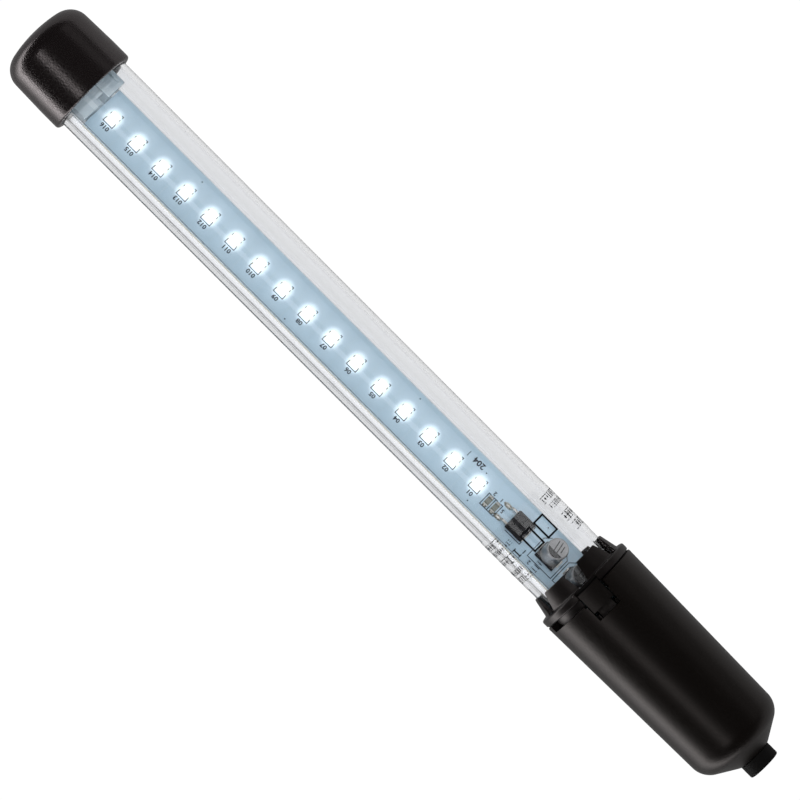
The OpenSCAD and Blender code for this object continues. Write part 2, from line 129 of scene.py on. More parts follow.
def addStage():
    world = bpy.data.worlds.new("studio")
    world.use_nodes = True
    scene.world = world
    back = world.node_tree.nodes["Background"]
    back.inputs["Color"].default_value = (1, 1, 1, 1)
    world.node_tree.links.new(whiteSurround(world.node_tree, studio["floorSeen"], studio["wallMirrored"],
                                            studio["wallInner"]), back.inputs["Strength"])
    finish = bpy.data.materials.new("paper")
    finish.use_nodes = True
    tree = finish.node_tree
    tree.nodes.clear()
    glow = tree.nodes.new("ShaderNodeEmission")
    out = tree.nodes.new("ShaderNodeOutputMaterial")
    level = whiteSurround(tree, studio["floorSeen"], studio["floorMirrored"], studio["floorInner"])
    path = tree.nodes.new("ShaderNodeLightPath")
    part = tree.nodes.new("ShaderNodeSeparateXYZ")
    tree.links.new(tree.nodes.new("ShaderNodeTexCoord").outputs["Object"], part.inputs[0])
    band = tree.nodes.new("ShaderNodeMapRange")
    tree.links.new(part.outputs["Y"], band.inputs["Value"])
    band.inputs["From Min"].default_value, band.inputs["From Max"].default_value = studio["floorBand"]
    band.inputs["To Max"].default_value = studio["bandMirrored"]
    card = tree.nodes.new("ShaderNodeMath")
    card.operation = "MULTIPLY_ADD"
    tree.links.new(band.outputs["Result"], card.inputs[0])
    tree.links.new(path.outputs["Is Glossy Ray"], card.inputs[1])
    tree.links.new(level, card.inputs[2])
    tree.links.new(card.outputs[0], glow.inputs["Strength"])
    tree.links.new(glow.outputs["Emission"], out.inputs["Surface"])
    mesh = bpy.data.meshes.new("floor")
    reach = 3
    mesh.from_pydata([(-reach, -reach, 0), (reach, -reach, 0), (reach, reach, 0), (-reach, reach, 0)], [],
                     [(0, 1, 2, 3)])
    mesh.materials.append(finish)
    floor = bpy.data.objects.new("floor", mesh)
    floor.location.z = -0.0002
    scene.collection.objects.link(floor)


scene.view_settings.view_transform = "Standard"
addCamera()
addStage()
addSoftbox("sideBox", (0, -1.1, 0.04), (0, 0, 0.02), (1.6, 0.24), 0.25)
addSoftbox("topBox", (0, -0.66, 1.5), (0, 0, 0), (1.6, 0.4), 1.9)
addSoftbox("rimBox", (0, 1.1, 0.5), (0, 0, 0.02), (1.6, 0.5), 0.25)
addSoftbox("fillBox", (0, 0.5, 1.4), (0, 0, 0), (1.8, 1.4), 8.5, mirrored=False)
print("studio ready")

# ---------- shader groups and materials ----------


def put(tree, kind, links=None, **settings):
    node = tree.nodes.new(kind)
    for key, value in settings.items():
        setattr(node, key, value)
    for socket, source in (links or {}).items():
        target = node.inputs[socket]
        if isinstance(source, bpy.types.NodeSocket):
            tree.links.new(source, target)
        else:
            target.default_value = source
    return node


def sums(tree, operation, first, second=0.0, third=0.0):
    node = put(tree, "ShaderNodeMath", {0: first, 1: second, 2: third}, operation=operation)
    return node.outputs[0]


def blendColour(tree, share, first, second, mode="MIX"):
    node = put(tree, "ShaderNodeMix", data_type="RGBA", blend_type=mode)
    for index, source in ((0, share), (6, first), (7, second)):
        if isinstance(source, bpy.types.NodeSocket):
            tree.links.new(source, node.inputs[index])
        else:
            node.inputs[index].default_value = source
    return node.outputs[2]


def shaderGroup(name, inputs, outputs):
    group = bpy.data.node_groups.new(name, "ShaderNodeTree")
    for label, kind, value in inputs:
        socket = group.interface.new_socket(label, in_out="INPUT", socket_type="NodeSocket" + kind)
        if value is not None:
            socket.default_value = value
    for label, kind in outputs:
        group.interface.new_socket(label, in_out="OUTPUT", socket_type="NodeSocket" + kind)
    return group, put(group, "NodeGroupInput").outputs, put(group, "NodeGroupOutput").inputs


def makeToneDrift():  # slow change of shade over a moulded or printed surface
    group, given, result = shaderGroup("toneDrift", [("Vector", "Vector", None), ("Scale", "Float", 60.0),
                                                     ("Colour", "Color", None), ("Amount", "Float", 0.2)],
                                       [("Colour", "Color")])
    wide = put(group, "ShaderNodeTexNoise",
               {"Vector": given["Vector"], "Scale": given["Scale"], "Detail": 4.0})
    fine = put(group, "ShaderNodeTexNoise", {"Vector": given["Vector"], "Detail": 2.0,
                                             "Scale": sums(group, "MULTIPLY", given["Scale"], 14.0)})
    both = sums(group, "MULTIPLY_ADD", fine.outputs[0], 0.35,
                sums(group, "MULTIPLY", wide.outputs[0], 0.65))
    swing = sums(group, "MULTIPLY_ADD", sums(group, "SUBTRACT", both, 0.5),
                 sums(group, "MULTIPLY", given["Amount"], 2.6), 1.0)
    shade = put(group, "ShaderNodeCombineColor", {0: swing, 1: swing, 2: swing})
    group.links.new(blendColour(group, 1.0, given["Colour"], shade.outputs[0], "MULTIPLY"),
                    result["Colour"])
    return group


def makeMouldedGrain():  # fine spark texture of a moulding tool
    group, given, result = shaderGroup("mouldedGrain",
                                       [("Vector", "Vector", None), ("Scale", "Float", 1500.0)],
                                       [("Height", "Float")])
    cells = put(group, "ShaderNodeTexVoronoi", {"Vector": given["Vector"], "Scale": given["Scale"]},
                feature="SMOOTH_F1")
    haze = put(group, "ShaderNodeTexNoise", {"Vector": given["Vector"], "Detail": 6.0, "Roughness": 0.7,
                                             "Scale": sums(group, "MULTIPLY", given["Scale"], 0.6)})
    group.links.new(sums(group, "MULTIPLY_ADD", cells.outputs["Distance"], 0.6, haze.outputs[0]),
                    result["Height"])
    return group


def makeLeatherGrain():  # pebbled cells parted by fine creases
    group, given, result = shaderGroup("leatherGrain",
                                       [("Vector", "Vector", None), ("Scale", "Float", 900.0)],
                                       [("Height", "Float"), ("Crease", "Float")])
    wander = put(group, "ShaderNodeTexNoise", {"Vector": given["Vector"], "Detail": 3.0,
                                               "Scale": sums(group, "MULTIPLY", given["Scale"], 0.5)})
    shift = put(group, "ShaderNodeVectorMath", {0: wander.outputs["Color"], "Scale": 0.0007},
                operation="SCALE")
    moved = put(group, "ShaderNodeVectorMath", {0: given["Vector"], 1: shift.outputs[0]}, operation="ADD")
    cells = put(group, "ShaderNodeTexVoronoi", {"Vector": moved.outputs[0], "Scale": given["Scale"]},
                feature="DISTANCE_TO_EDGE")
    small = put(group, "ShaderNodeTexVoronoi", {"Vector": moved.outputs[0],
                                                "Scale": sums(group, "MULTIPLY", given["Scale"], 2.3)},
                feature="DISTANCE_TO_EDGE")
    dome = put(group, "ShaderNodeMapRange", {"Value": cells.outputs["Distance"], "From Max": 0.35},
               interpolation_type="SMOOTHSTEP")
    group.links.new(sums(group, "MULTIPLY_ADD", small.outputs["Distance"], 0.8, dome.outputs[0]),
                    result["Height"])
    crease = put(group, "ShaderNodeMapRange", {"Value": cells.outputs["Distance"], "From Max": 0.12,
                                               "To Min": 1.0, "To Max": 0.0})
    group.links.new(crease.outputs[0], result["Crease"])
    return group


def makeFineScratches():  # sparse hairlines from handling, running mostly along the lamp
    group, given, result = shaderGroup("fineScratches",
                                       [("Vector", "Vector", None), ("Scale", "Float", 90.0),
                                                         ("Share", "Float", 0.2)], [("Mask", "Float")])
    total = None
    for turn, stretch in ((0.15, 1.0), (-0.4, 1.7), (1.1, 0.8)):
        frameOf = put(group, "ShaderNodeMapping", {"Vector": given["Vector"], "Rotation": (0.0, 0.0, turn),
                                                   "Scale": (0.06, stretch, stretch)})
        lines = put(group, "ShaderNodeTexNoise", {"Vector": frameOf.outputs[0], "Detail": 2.0,
                                                  "Scale": sums(group, "MULTIPLY", given["Scale"], 9.0)})
        edge = put(group, "ShaderNodeMapRange",
                   {"Value": lines.outputs[0], "From Min": 0.66, "From Max": 0.74})
        total = edge.outputs[0] if total is None else sums(group, "MAXIMUM", total, edge.outputs[0])
    patches = put(group, "ShaderNodeTexNoise", {"Vector": given["Vector"], "Scale": given["Scale"]})
    where = put(group, "ShaderNodeMapRange",
                {"Value": patches.outputs[0], "From Min": 0.5, "From Max": 0.7})
    mask = sums(group, "MULTIPLY", total, where.outputs[0])
    group.links.new(sums(group, "MULTIPLY", mask, given["Share"]), result["Mask"])
    return group


def makeEdgeRub():  # raised edges, broken up by noise
    group, given, result = shaderGroup("edgeRub", [("Vector", "Vector", None), ("Start", "Float", 0.53),
                                                   ("Share", "Float", 0.5)], [("Mask", "Float")])
    shape = put(group, "ShaderNodeNewGeometry")
    high = put(group, "ShaderNodeMapRange",
               {"Value": shape.outputs["Pointiness"], "From Min": given["Start"],
                                             "From Max": sums(group, "ADD", given["Start"], 0.1)})
    broken = put(group, "ShaderNodeTexNoise", {"Vector": given["Vector"], "Scale": 900.0, "Detail": 4.0})
    some = put(group, "ShaderNodeMapRange",
               {"Value": broken.outputs[0], "From Min": 0.35, "From Max": 0.65})
    mask = sums(group, "MULTIPLY", high.outputs[0], some.outputs[0])
    group.links.new(sums(group, "MULTIPLY", mask, given["Share"]), result["Mask"])
    return group


def makeDrawnMetal():  # lines left by drawing, rolling or plating
    group, given, result = shaderGroup("drawnMetal", [("Vector", "Vector", None), ("Scale", "Float", 800.0),
                                                      ("Stretch", "Vector", (0.05, 1.0, 1.0))],
                                       [("Height", "Float"), ("Blotch", "Float")])
    frameOf = put(group, "ShaderNodeMapping", {"Vector": given["Vector"], "Scale": given["Stretch"]})
    lines = put(group, "ShaderNodeTexNoise", {"Vector": frameOf.outputs[0], "Scale": given["Scale"],
                                              "Detail": 5.0})
    stain = put(group, "ShaderNodeTexNoise", {"Vector": given["Vector"], "Detail": 3.0,
                                              "Scale": sums(group, "MULTIPLY", given["Scale"], 0.35)})
    group.links.new(lines.outputs[0], result["Height"])
    group.links.new(stain.outputs[0], result["Blotch"])
    return group


groups = {
    "toneDrift": makeToneDrift(),
    "mouldedGrain": makeMouldedGrain(),
    "leatherGrain": makeLeatherGrain(),
    "fineScratches": makeFineScratches(),
    "edgeRub": makeEdgeRub(),
    "drawnMetal": makeDrawnMetal(),
}


def useGroup(tree, name, values):
    node = tree.nodes.new("ShaderNodeGroup")
    node.node_tree = groups[name]
    for socket, source in values.items():
        if isinstance(source, bpy.types.NodeSocket):
            tree.links.new(source, node.inputs[socket])
        else:
            node.inputs[socket].default_value = source
    return node.outputs


def startMaterial(name, constants):  # constants are the shader's own plain values
    material = bpy.data.materials.new(name)
    material.use_nodes = True
    tree = material.node_tree
    shader = tree.nodes["Principled BSDF"]
    for socket, value in constants.items():
        shader.inputs[socket].default_value = value
    place = put(tree, "ShaderNodeTexCoord").outputs["Object"]
    return material, tree, shader, place


def bump(tree, shader, height, depth):
    node = put(tree, "ShaderNodeBump", {"Height": height, "Distance": depth * mm, "Strength": 1.0})
    tree.links.new(node.outputs[0], shader.inputs["Normal"])


def rgb(red, green, blue):
    return (red, green, blue, 1.0)


def plastic(name, look):  # moulded plastic: drifting shade, tool grain, hairlines and rubbed edges
    material, tree, shader, place = startMaterial(name, {"Specular IOR Level": look.get("shine", 0.3),
                                                         "Specular Tint": look.get("tint", rgb(1, 1, 1))})
    base = useGroup(tree, "toneDrift", {"Vector": place, "Scale": look.get("driftScale", 60.0),
                                        "Colour": look["colour"],
                                        "Amount": look.get("drift", 0.18)})["Colour"]
    lines = useGroup(tree, "fineScratches", {"Vector": place, "Share": look.get("scratches", 0.25)})["Mask"]
    rub = useGroup(tree, "edgeRub", {"Vector": place, "Share": look.get("rub", 0.35)})["Mask"]
    marks = sums(tree, "MAXIMUM", lines, rub)
    tree.links.new(blendColour(tree, marks, base, look["worn"]), shader.inputs["Base Color"])
    height = useGroup(tree, "mouldedGrain", {"Vector": place, "Scale": look["grain"]})["Height"]
    rough = sums(tree, "MULTIPLY_ADD", height, look.get("roughSwing", 0.12), look["rough"])
    tree.links.new(sums(tree, "SUBTRACT", rough, sums(tree, "MULTIPLY", rub, 0.15)),
                   shader.inputs["Roughness"])
    bump(tree, shader, sums(tree, "SUBTRACT", height, sums(tree, "MULTIPLY", lines, 0.6)), look["depth"])
    return material


def grainedPlastic(name, look):  # the cap's leather-like tool texture
    material, tree, shader, place = startMaterial(name, {"Specular IOR Level": look["shine"],
                                                         "Specular Tint": look["tint"],
                                                         "IOR": look["ior"]})
    base = useGroup(tree, "toneDrift", {"Vector": place, "Scale": 70.0, "Colour": look["colour"],
                                        "Amount": look["drift"]})["Colour"]
    grain = useGroup(tree, "leatherGrain", {"Vector": place, "Scale": look["grain"]})
    rub = useGroup(tree, "edgeRub", {"Vector": place, "Share": 0.3})["Mask"]
    # painted shade: the creases between the grain's cells are darkened
    creaseShaded = blendColour(tree, sums(tree, "MULTIPLY", grain["Crease"], 0.5), base, look["crease"])
    tree.links.new(blendColour(tree, rub, creaseShaded, look["worn"]), shader.inputs["Base Color"])
    tree.links.new(sums(tree, "MULTIPLY_ADD", grain["Crease"], 0.15, look["rough"]),
                   shader.inputs["Roughness"])
    bump(tree, shader, grain["Height"], look["depth"])
    return material


def metal(name, look):  # plated, rolled or drawn metal with faint stains
    material, tree, shader, place = startMaterial(name, {"Metallic": 1.0})
    grain = useGroup(tree, "drawnMetal", {"Vector": place, "Scale": look.get("scale", 800.0),
                                          "Stretch": look.get("stretch", (0.05, 1.0, 1.0))})
    stained = put(tree, "ShaderNodeMapRange", {"Value": grain["Blotch"], "From Min": 0.4, "From Max": 0.75})
    rub = useGroup(tree, "edgeRub", {"Vector": place, "Share": 0.5})["Mask"]
    dull = blendColour(tree, stained.outputs[0], look["colour"], look["stain"])
    tree.links.new(blendColour(tree, rub, dull, look["colour"]), shader.inputs["Base Color"])
    tree.links.new(sums(tree, "MULTIPLY_ADD", stained.outputs[0], 0.18, look["rough"]),
                   shader.inputs["Roughness"])
    bump(tree, shader, grain["Height"], look.get("depth", 0.01))
    return material


def clearPlastic(name, look):  # glass-like plastic; only colour, roughness and surface ripple change
    material, tree, shader, place = startMaterial(name, {"Transmission Weight": look.get("clear", 1.0),
                                                         "Metallic": 0.0, "IOR": look["ior"],
                                                         "Specular IOR Level": look.get("shine", 0.5)})
    tint = useGroup(tree, "toneDrift", {"Vector": place, "Scale": 40.0, "Colour": look["colour"],
                                        "Amount": look.get("drift", 0.01)})["Colour"]
    tree.links.new(tint, shader.inputs["Base Color"])
    lines = useGroup(tree, "fineScratches", {"Vector": place, "Share": look.get("scratches", 0.3)})["Mask"]
    tree.links.new(sums(tree, "MULTIPLY_ADD", lines, 0.25, look["rough"]), shader.inputs["Roughness"])
    flow = put(tree, "ShaderNodeMapping", {"Vector": place, "Scale": (0.15, 1.0, 1.0)})
    ripple = put(tree, "ShaderNodeTexNoise",
                 {"Vector": flow.outputs[0], "Scale": look.get("ripple", 260.0)})
    bump(tree, shader, ripple.outputs[0], look.get("depth", 0.01))
    return material


finishes = {
    "handle": plastic("handlePlastic",
                      {"colour": rgb(0.0062, 0.0046, 0.0038), "worn": rgb(0.04, 0.036, 0.034),
                                        "rough": 0.26, "grain": 2200.0, "depth": 0.007, "shine": 0.6,
                                        "tint": rgb(1.0, 0.9, 0.87)}),
    "collar": plastic("collarPlastic",
                      {"colour": rgb(0.0075, 0.0058, 0.0056), "worn": rgb(0.05, 0.045, 0.044),
                                        "rough": 0.24, "grain": 1800.0, "depth": 0.009, "shine": 0.7,
                                        "tint": rgb(1.0, 0.91, 0.89)}),
    "tongue": plastic("tonguePlastic",
                      {"colour": rgb(0.0062, 0.0048, 0.0042), "worn": rgb(0.06, 0.055, 0.054),
                                        "rough": 0.3, "grain": 2000.0, "depth": 0.009, "shine": 0.6,
                                        "tint": rgb(1.0, 0.91, 0.88)}),
    "gland": plastic("glandRubber", {"colour": rgb(0.006, 0.0055, 0.0055), "worn": rgb(0.02, 0.02, 0.02),
                                     "rough": 0.55, "grain": 1500.0, "depth": 0.02, "shine": 0.25}),
    "cap": grainedPlastic("capPlastic",
                          # crease: colour of the painted shade in the grain's creases
                          {"colour": rgb(0.014, 0.0102, 0.0105), "crease": rgb(0.006, 0.0045, 0.0045),
                                         "worn": rgb(0.07, 0.062, 0.064), "rough": 0.2, "grain": 950.0,
                                         "depth": 0.013, "shine": 1.0, "ior": 1.66,
                           "tint": rgb(1.0, 0.9, 0.91), "drift": 0.2}),
    "clearTube": clearPlastic("tubePlastic", {"colour": rgb(0.88, 0.887, 0.9), "ior": 1.5, "rough": 0.0,
                                              "depth": 0.003, "scratches": 0.1, "shine": 0.4}),
    "labelFilm": clearPlastic("filmPlastic", {"colour": rgb(0.97, 0.972, 0.975), "ior": 1.12, "rough": 0.03,
                                              "ripple": 900.0, "depth": 0.004}),
    "holder": clearPlastic("holderPlastic",
                           {"colour": rgb(0.66, 0.76, 0.82), "ior": 1.4, "rough": 0.12, "clear": 0.5,
                                             "ripple": 700.0, "depth": 0.03}),
    "rubber": plastic("sealRubber", {"colour": rgb(0.012, 0.012, 0.012), "worn": rgb(0.04, 0.04, 0.04),
                                     "rough": 0.5, "grain": 1600.0, "depth": 0.015}),
    "epoxy": plastic("chipEpoxy", {"colour": rgb(0.006, 0.0055, 0.007), "worn": rgb(0.04, 0.04, 0.045),
                                   "rough": 0.6, "grain": 3500.0, "depth": 0.012, "scratches": 0.4,
                                   "shine": 0.12}),
    "resistor": plastic("resistorGlaze", {"colour": rgb(0.13, 0.145, 0.12), "worn": rgb(0.3, 0.32, 0.28),
                                          "rough": 0.3, "grain": 4000.0, "depth": 0.008}),
    "canBase": plastic("baseResin", {"colour": rgb(0.008, 0.009, 0.013), "worn": rgb(0.07, 0.07, 0.08),
                                     "rough": 0.6, "grain": 3000.0, "depth": 0.012, "shine": 0.12}),
    "terminal": plastic("terminalResin", {"colour": rgb(0.03, 0.16, 0.075), "worn": rgb(0.16, 0.36, 0.25),
                                          "rough": 0.32, "grain": 2500.0, "depth": 0.012,
                                          "scratches": 0.4}),
    "fuse": plastic("fuseCeramic", {"colour": rgb(0.72, 0.68, 0.58), "worn": rgb(0.85, 0.83, 0.78),
                                    "rough": 0.45, "grain": 3200.0, "depth": 0.015, "drift": 0.1}),
    "carrier": plastic("carrierResin", {"colour": rgb(0.022, 0.02, 0.022), "worn": rgb(0.09, 0.085, 0.09),
                                        "rough": 0.36, "grain": 1700.0, "depth": 0.015}),
    "tinned": metal("tinnedLead", {"colour": rgb(0.8, 0.79, 0.75), "stain": rgb(0.5, 0.49, 0.44),
                                   "rough": 0.22, "scale": 1500.0}),
    "solder": metal("solderJoint", {"colour": rgb(0.9, 0.89, 0.84), "stain": rgb(0.62, 0.62, 0.5),
                                    "rough": 0.16, "scale": 900.0, "stretch": (1.0, 1.0, 1.0),
                                    "depth": 0.05}),
    "can": metal("canAluminium", {"colour": rgb(0.52, 0.52, 0.53), "stain": rgb(0.38, 0.38, 0.38),
                                  "rough": 0.38, "scale": 1100.0, "stretch": (1.0, 1.0, 0.06)}),
    "steel": metal("screwSteel",
                   {"colour": rgb(0.6, 0.6, 0.61), "stain": rgb(0.4, 0.39, 0.37), "rough": 0.28}),
    "brass": metal("clampBrass",
                   {"colour": rgb(0.72, 0.6, 0.36), "stain": rgb(0.4, 0.3, 0.16), "rough": 0.3}),
}


def inkMaterial(name, colour, solid):  # printed ink with thin spots where it did not take
    material, tree, shader, place = startMaterial(name, {"Specular IOR Level": 0.3})
    speck = put(tree, "ShaderNodeTexNoise", {"Vector": place, "Scale": 5000.0, "Detail": 3.0})
    tone = useGroup(tree, "toneDrift", {"Vector": place, "Scale": 300.0, "Colour": colour, "Amount": 0.3})
    tree.links.new(tone["Colour"], shader.inputs["Base Color"])
    cover = put(tree, "ShaderNodeMapRange", {"Value": speck.outputs[0], "From Min": 0.3, "From Max": 0.5,
                                             "To Min": solid * 0.85, "To Max": solid})
    tree.links.new(cover.outputs[0], shader.inputs["Alpha"])
    tree.links.new(sums(tree, "MULTIPLY_ADD", speck.outputs[0], 0.3, 0.4), shader.inputs["Roughness"])
    return material


finishes["silk"] = inkMaterial("silkInk", rgb(0.008, 0.014, 0.03), 1.0)
finishes["labelInk"] = inkMaterial("labelInk", rgb(0.012, 0.012, 0.015), 0.9)
finishes["canInk"] = inkMaterial("canInk", rgb(0.006, 0.006, 0.008), 1.0)
print("materials ready")

# ---------- mesh helpers ----------


def settle(piece, body, slotName, *nodes):  # last step of every piece
    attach(piece, body)
    if nodes:
        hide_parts(*nodes)
    return piece


def pieceFrom(name, points, faces):
    mesh = bpy.data.meshes.new(name)
    mesh.from_pydata([Vector(point) * mm for point in points], [], faces)
    piece = bpy.data.objects.new(name, mesh)
    scene.collection.objects.link(piece)
    return piece


def faceOut(piece, weld=0.0005):
    shape = bmesh.new()
    shape.from_mesh(piece.data)
    bmesh.ops.remove_doubles(shape, verts=shape.verts, dist=weld * mm)
    bmesh.ops.recalc_face_normals(shape, faces=shape.faces)
    shape.to_mesh(piece.data)
    shape.free()


def smooth(piece, angle=32):
    piece.data.shade_smooth()
    piece.data.set_sharp_from_angle(angle=math.radians(angle))


def applyModifiers(piece):
    bpy.context.view_layer.update()
    shown = piece.evaluated_get(bpy.context.evaluated_depsgraph_get())
    mesh = bpy.data.meshes.new_from_object(shown)
    piece.modifiers.clear()
    piece.data = mesh


def carve(piece, cutters, operation="DIFFERENCE"):
    for cutter in cutters:
        cut = piece.modifiers.new("cut", "BOOLEAN")
        cut.operation = operation
        cut.solver = "EXACT"
        cut.object = cutter
    applyModifiers(piece)
    for cutter in cutters:
        bpy.data.objects.remove(cutter)
    faceOut(piece)


def roundEdges(piece, width, segments=2, angle=38):
    smooth(piece, angle)
    bevel = piece.modifiers.new("edges", "BEVEL")
    bevel.width = width * mm
    bevel.segments = segments
    bevel.limit_method = "ANGLE"
    bevel.angle_limit = math.radians(angle)
    bevel.harden_normals = True
    bevel.miter_outer = "MITER_ARC"
    applyModifiers(piece)


def paint(piece, finish):
    piece.data.materials.clear()
    piece.data.materials.append(finishes[finish] if isinstance(finish, str) else finish)
    return piece


def filleted(points, steps=4, closed=True):  # (x, r, setback) corners; a setback becomes a short curve
    result = []
    count = len(points)
    for index, (x, r, setback) in enumerate(points):
        here = Vector((x, r))
        inside = closed or 0 < index < count - 1
        if setback <= 0 or not inside:
            result.append((x, r))
            continue
        before = Vector(points[index - 1][:2]) - here
        after = Vector(points[(index + 1) % count][:2]) - here
        start = here + before.normalized() * min(setback, before.length * 0.49)
        end = here + after.normalized() * min(setback, after.length * 0.49)
        for step in range(steps + 1):
            t = step / steps
            point = start * (1 - t) ** 2 + here * 2 * t * (1 - t) + end * t ** 2
            result.append((point.x, point.y))
    return result


def arc(x, r, radius, fromAngle, toAngle, steps):
    angles = [math.radians(fromAngle + (toAngle - fromAngle) * step / steps) for step in range(steps + 1)]
    return [(x + radius * math.cos(angle), r + radius * math.sin(angle)) for angle in angles]


def around(x, r, turn):  # a point at this radius, turn measured from +Z towards -Y
    angle = math.radians(turn)
    return (x, -r * math.sin(angle), axisHeight + r * math.cos(angle))


def fromRows(name, rows, loop):  # rows of points, each a ring or a pole; loop closes them
    points, starts = [], []
    steps = max(len(row) for row in rows)
    for row in rows:
        starts.append(len(points))
        points += row
    faces = []
    for index in range(len(rows) - (0 if loop else 1)):
        following = (index + 1) % len(rows)
        a, b = starts[index], starts[following]
        for i in range(steps):
            j = (i + 1) % steps
            if len(rows[index]) == 1:
                faces.append((a, b + i, b + j))
            elif len(rows[following]) == 1:
                faces.append((a + i, b, a + j))
            else:
                faces.append((a + i, b + i, b + j, a + j))
    piece = pieceFrom(name, points, faces)
    faceOut(piece)
    return piece


def turned(name, outline, steps=192):  # a closed outline of (x, radius), or one with both ends on the axis
    rows = [[around(x, r, 360 * i / steps) for i in range(1 if r < 1e-6 else steps)] for x, r in outline]
    return fromRows(name, rows, loop=len(rows[0]) > 1)


def spun(name, x, y, profile, steps=72):  # (radius, z) points about an upright line through x, y
    turns = [2 * math.pi * i / steps for i in range(steps)]
    rows = [[(x + r * math.cos(turn), y + r * math.sin(turn), z) for turn in (turns if r > 1e-6 else [0])]
            for r, z in profile]
    return fromRows(name, rows, loop=len(rows[0]) > 1)


def mound(name, x, y, z, halfX, halfY, height, lean=0.0):  # a drop of solder on the board
    steps, rings = 24, 6
    rows = [[(x, y, z - 0.02)]]
    for ring in range(rings):
        share = 1 - ring / rings
        lift = height * (1 - share ** 2) ** 0.8
        shift = lean * lift / height
        turns = [2 * math.pi * i / steps for i in range(steps)]
        rows.append([(x + shift + halfX * share * math.cos(turn) * (1 + 0.06 * math.sin(3 * turn + x)),
                      y + halfY * share * math.sin(turn), z + lift) for turn in turns])
    rows.append([(x + lean, y, z + height)])
    return fromRows(name, rows, loop=False)


def turnedPart(name, outline, start, sweep, steps):  # turned through sweep, with its ends closed
    count = len(outline)
    points = [around(x, r, start + sweep * i / steps) for i in range(steps + 1) for x, r in outline]
    faces = [tuple(range(count)), tuple(range(steps * count, (steps + 1) * count))]
    for i in range(steps):
        for j in range(count):
            k = (j + 1) % count
            faces.append((i * count + j, i * count + k, (i + 1) * count + k, (i + 1) * count + j))
    piece = pieceFrom(name, points, faces)
    faceOut(piece)
    return piece


def blockPoints(x, y, z):
    return [(a, b, c) for a in x for b in y for c in z]


blockFaces = [(0, 1, 3, 2), (4, 6, 7, 5), (0, 4, 5, 1), (2, 3, 7, 6), (0, 2, 6, 4), (1, 5, 7, 3)]


def blocks(name, boxes):  # several boxes, each ((x0, x1), (y0, y1), (z0, z1)), as one piece
    points, faces = [], []
    for box in boxes:
        faces += [tuple(len(points) + corner for corner in face) for face in blockFaces]
        points += blockPoints(*box)
    piece = pieceFrom(name, points, faces)
    faceOut(piece, 0)
    return piece


def prism(name, outline, low, high, along="Z"):  # a flat outline pushed along one axis
    count = len(outline)
    order = {"Z": lambda a, b, c: (a, b, c), "X": lambda a, b, c: (c, a, b), "Y": lambda a, b,
             c: (a, c, b)}[along]
    points = [order(a, b, level) for level in (low, high) for a, b in outline]
    faces = [tuple(range(count)), tuple(range(count, 2 * count))]
    faces += [(i, (i + 1) % count, count + (i + 1) % count, count + i) for i in range(count)]
    piece = pieceFrom(name, points, faces)
    faceOut(piece)
    return piece


def joined(name, parts):
    shape = bmesh.new()
    for part in parts:
        shape.from_mesh(part.data)
    mesh = bpy.data.meshes.new(name)
    shape.to_mesh(mesh)
    shape.free()
    for part in parts:
        bpy.data.objects.remove(part)
    piece = bpy.data.objects.new(name, mesh)
    scene.collection.objects.link(piece)
    return piece


# ---------- board frame ----------

board = {"turn": 22, "face": -3.3, "thick": 1.6, "half": 7.7, "corner": 0.5}
boardPlace = Matrix.Translation((0, 0, axisHeight * mm)) @ Matrix.Rotation(math.radians(-board["turn"]),
                                                                           4, "X")
ledRow = {"count": 16, "size": (2.8, 3.5, 0.75), "window": (2.1, 2.8)}
ledRow["first"] = ledLow.x + ledRow["size"][0] / 2
ledRow["pitch"] = (ledHigh.x - ledLow.x - ledRow["size"][0]) / (ledRow["count"] - 1)


def onBoard(piece):  # from the board's own frame into the lamp's
    piece.data.transform(boardPlace)
    return piece


# ---------- Geometry Nodes ----------


def geometryTree(name, inputs):
    tree = bpy.data.node_groups.new(name, "GeometryNodeTree")
    tree.interface.new_socket("Geometry", in_out="OUTPUT", socket_type="NodeSocketGeometry")
    for label, kind in inputs:
        tree.interface.new_socket(label, in_out="INPUT", socket_type="NodeSocket" + kind)
    return tree, put(tree, "NodeGroupInput").outputs, put(tree, "NodeGroupOutput").inputs


def closeTree(tree, geometry, finish, result):
    real = put(tree, "GeometryNodeRealizeInstances", {"Geometry": geometry})
    set_ = put(tree, "GeometryNodeSetMaterial", {"Geometry": real.outputs[0], "Material": finish})
    tree.links.new(set_.outputs[0], result["Geometry"])


def makePieceRow():  # copies of one piece in a straight row along X
    tree, given, result = geometryTree("pieceRow",
                                       [("Piece", "Object"), ("Count", "Int"), ("Pitch", "Float"),
                                                    ("Finish", "Material")])
    step = put(tree, "ShaderNodeCombineXYZ", {"X": given["Pitch"]})
    line = put(tree, "GeometryNodeMeshLine", {"Count": given["Count"], "Offset": step.outputs[0]})
    source = put(tree, "GeometryNodeObjectInfo", {"Object": given["Piece"]})
    copies = put(tree, "GeometryNodeInstanceOnPoints", {"Points": line.outputs[0],
                                                        "Instance": source.outputs["Geometry"]})
    closeTree(tree, copies.outputs[0], given["Finish"], result)
    return tree


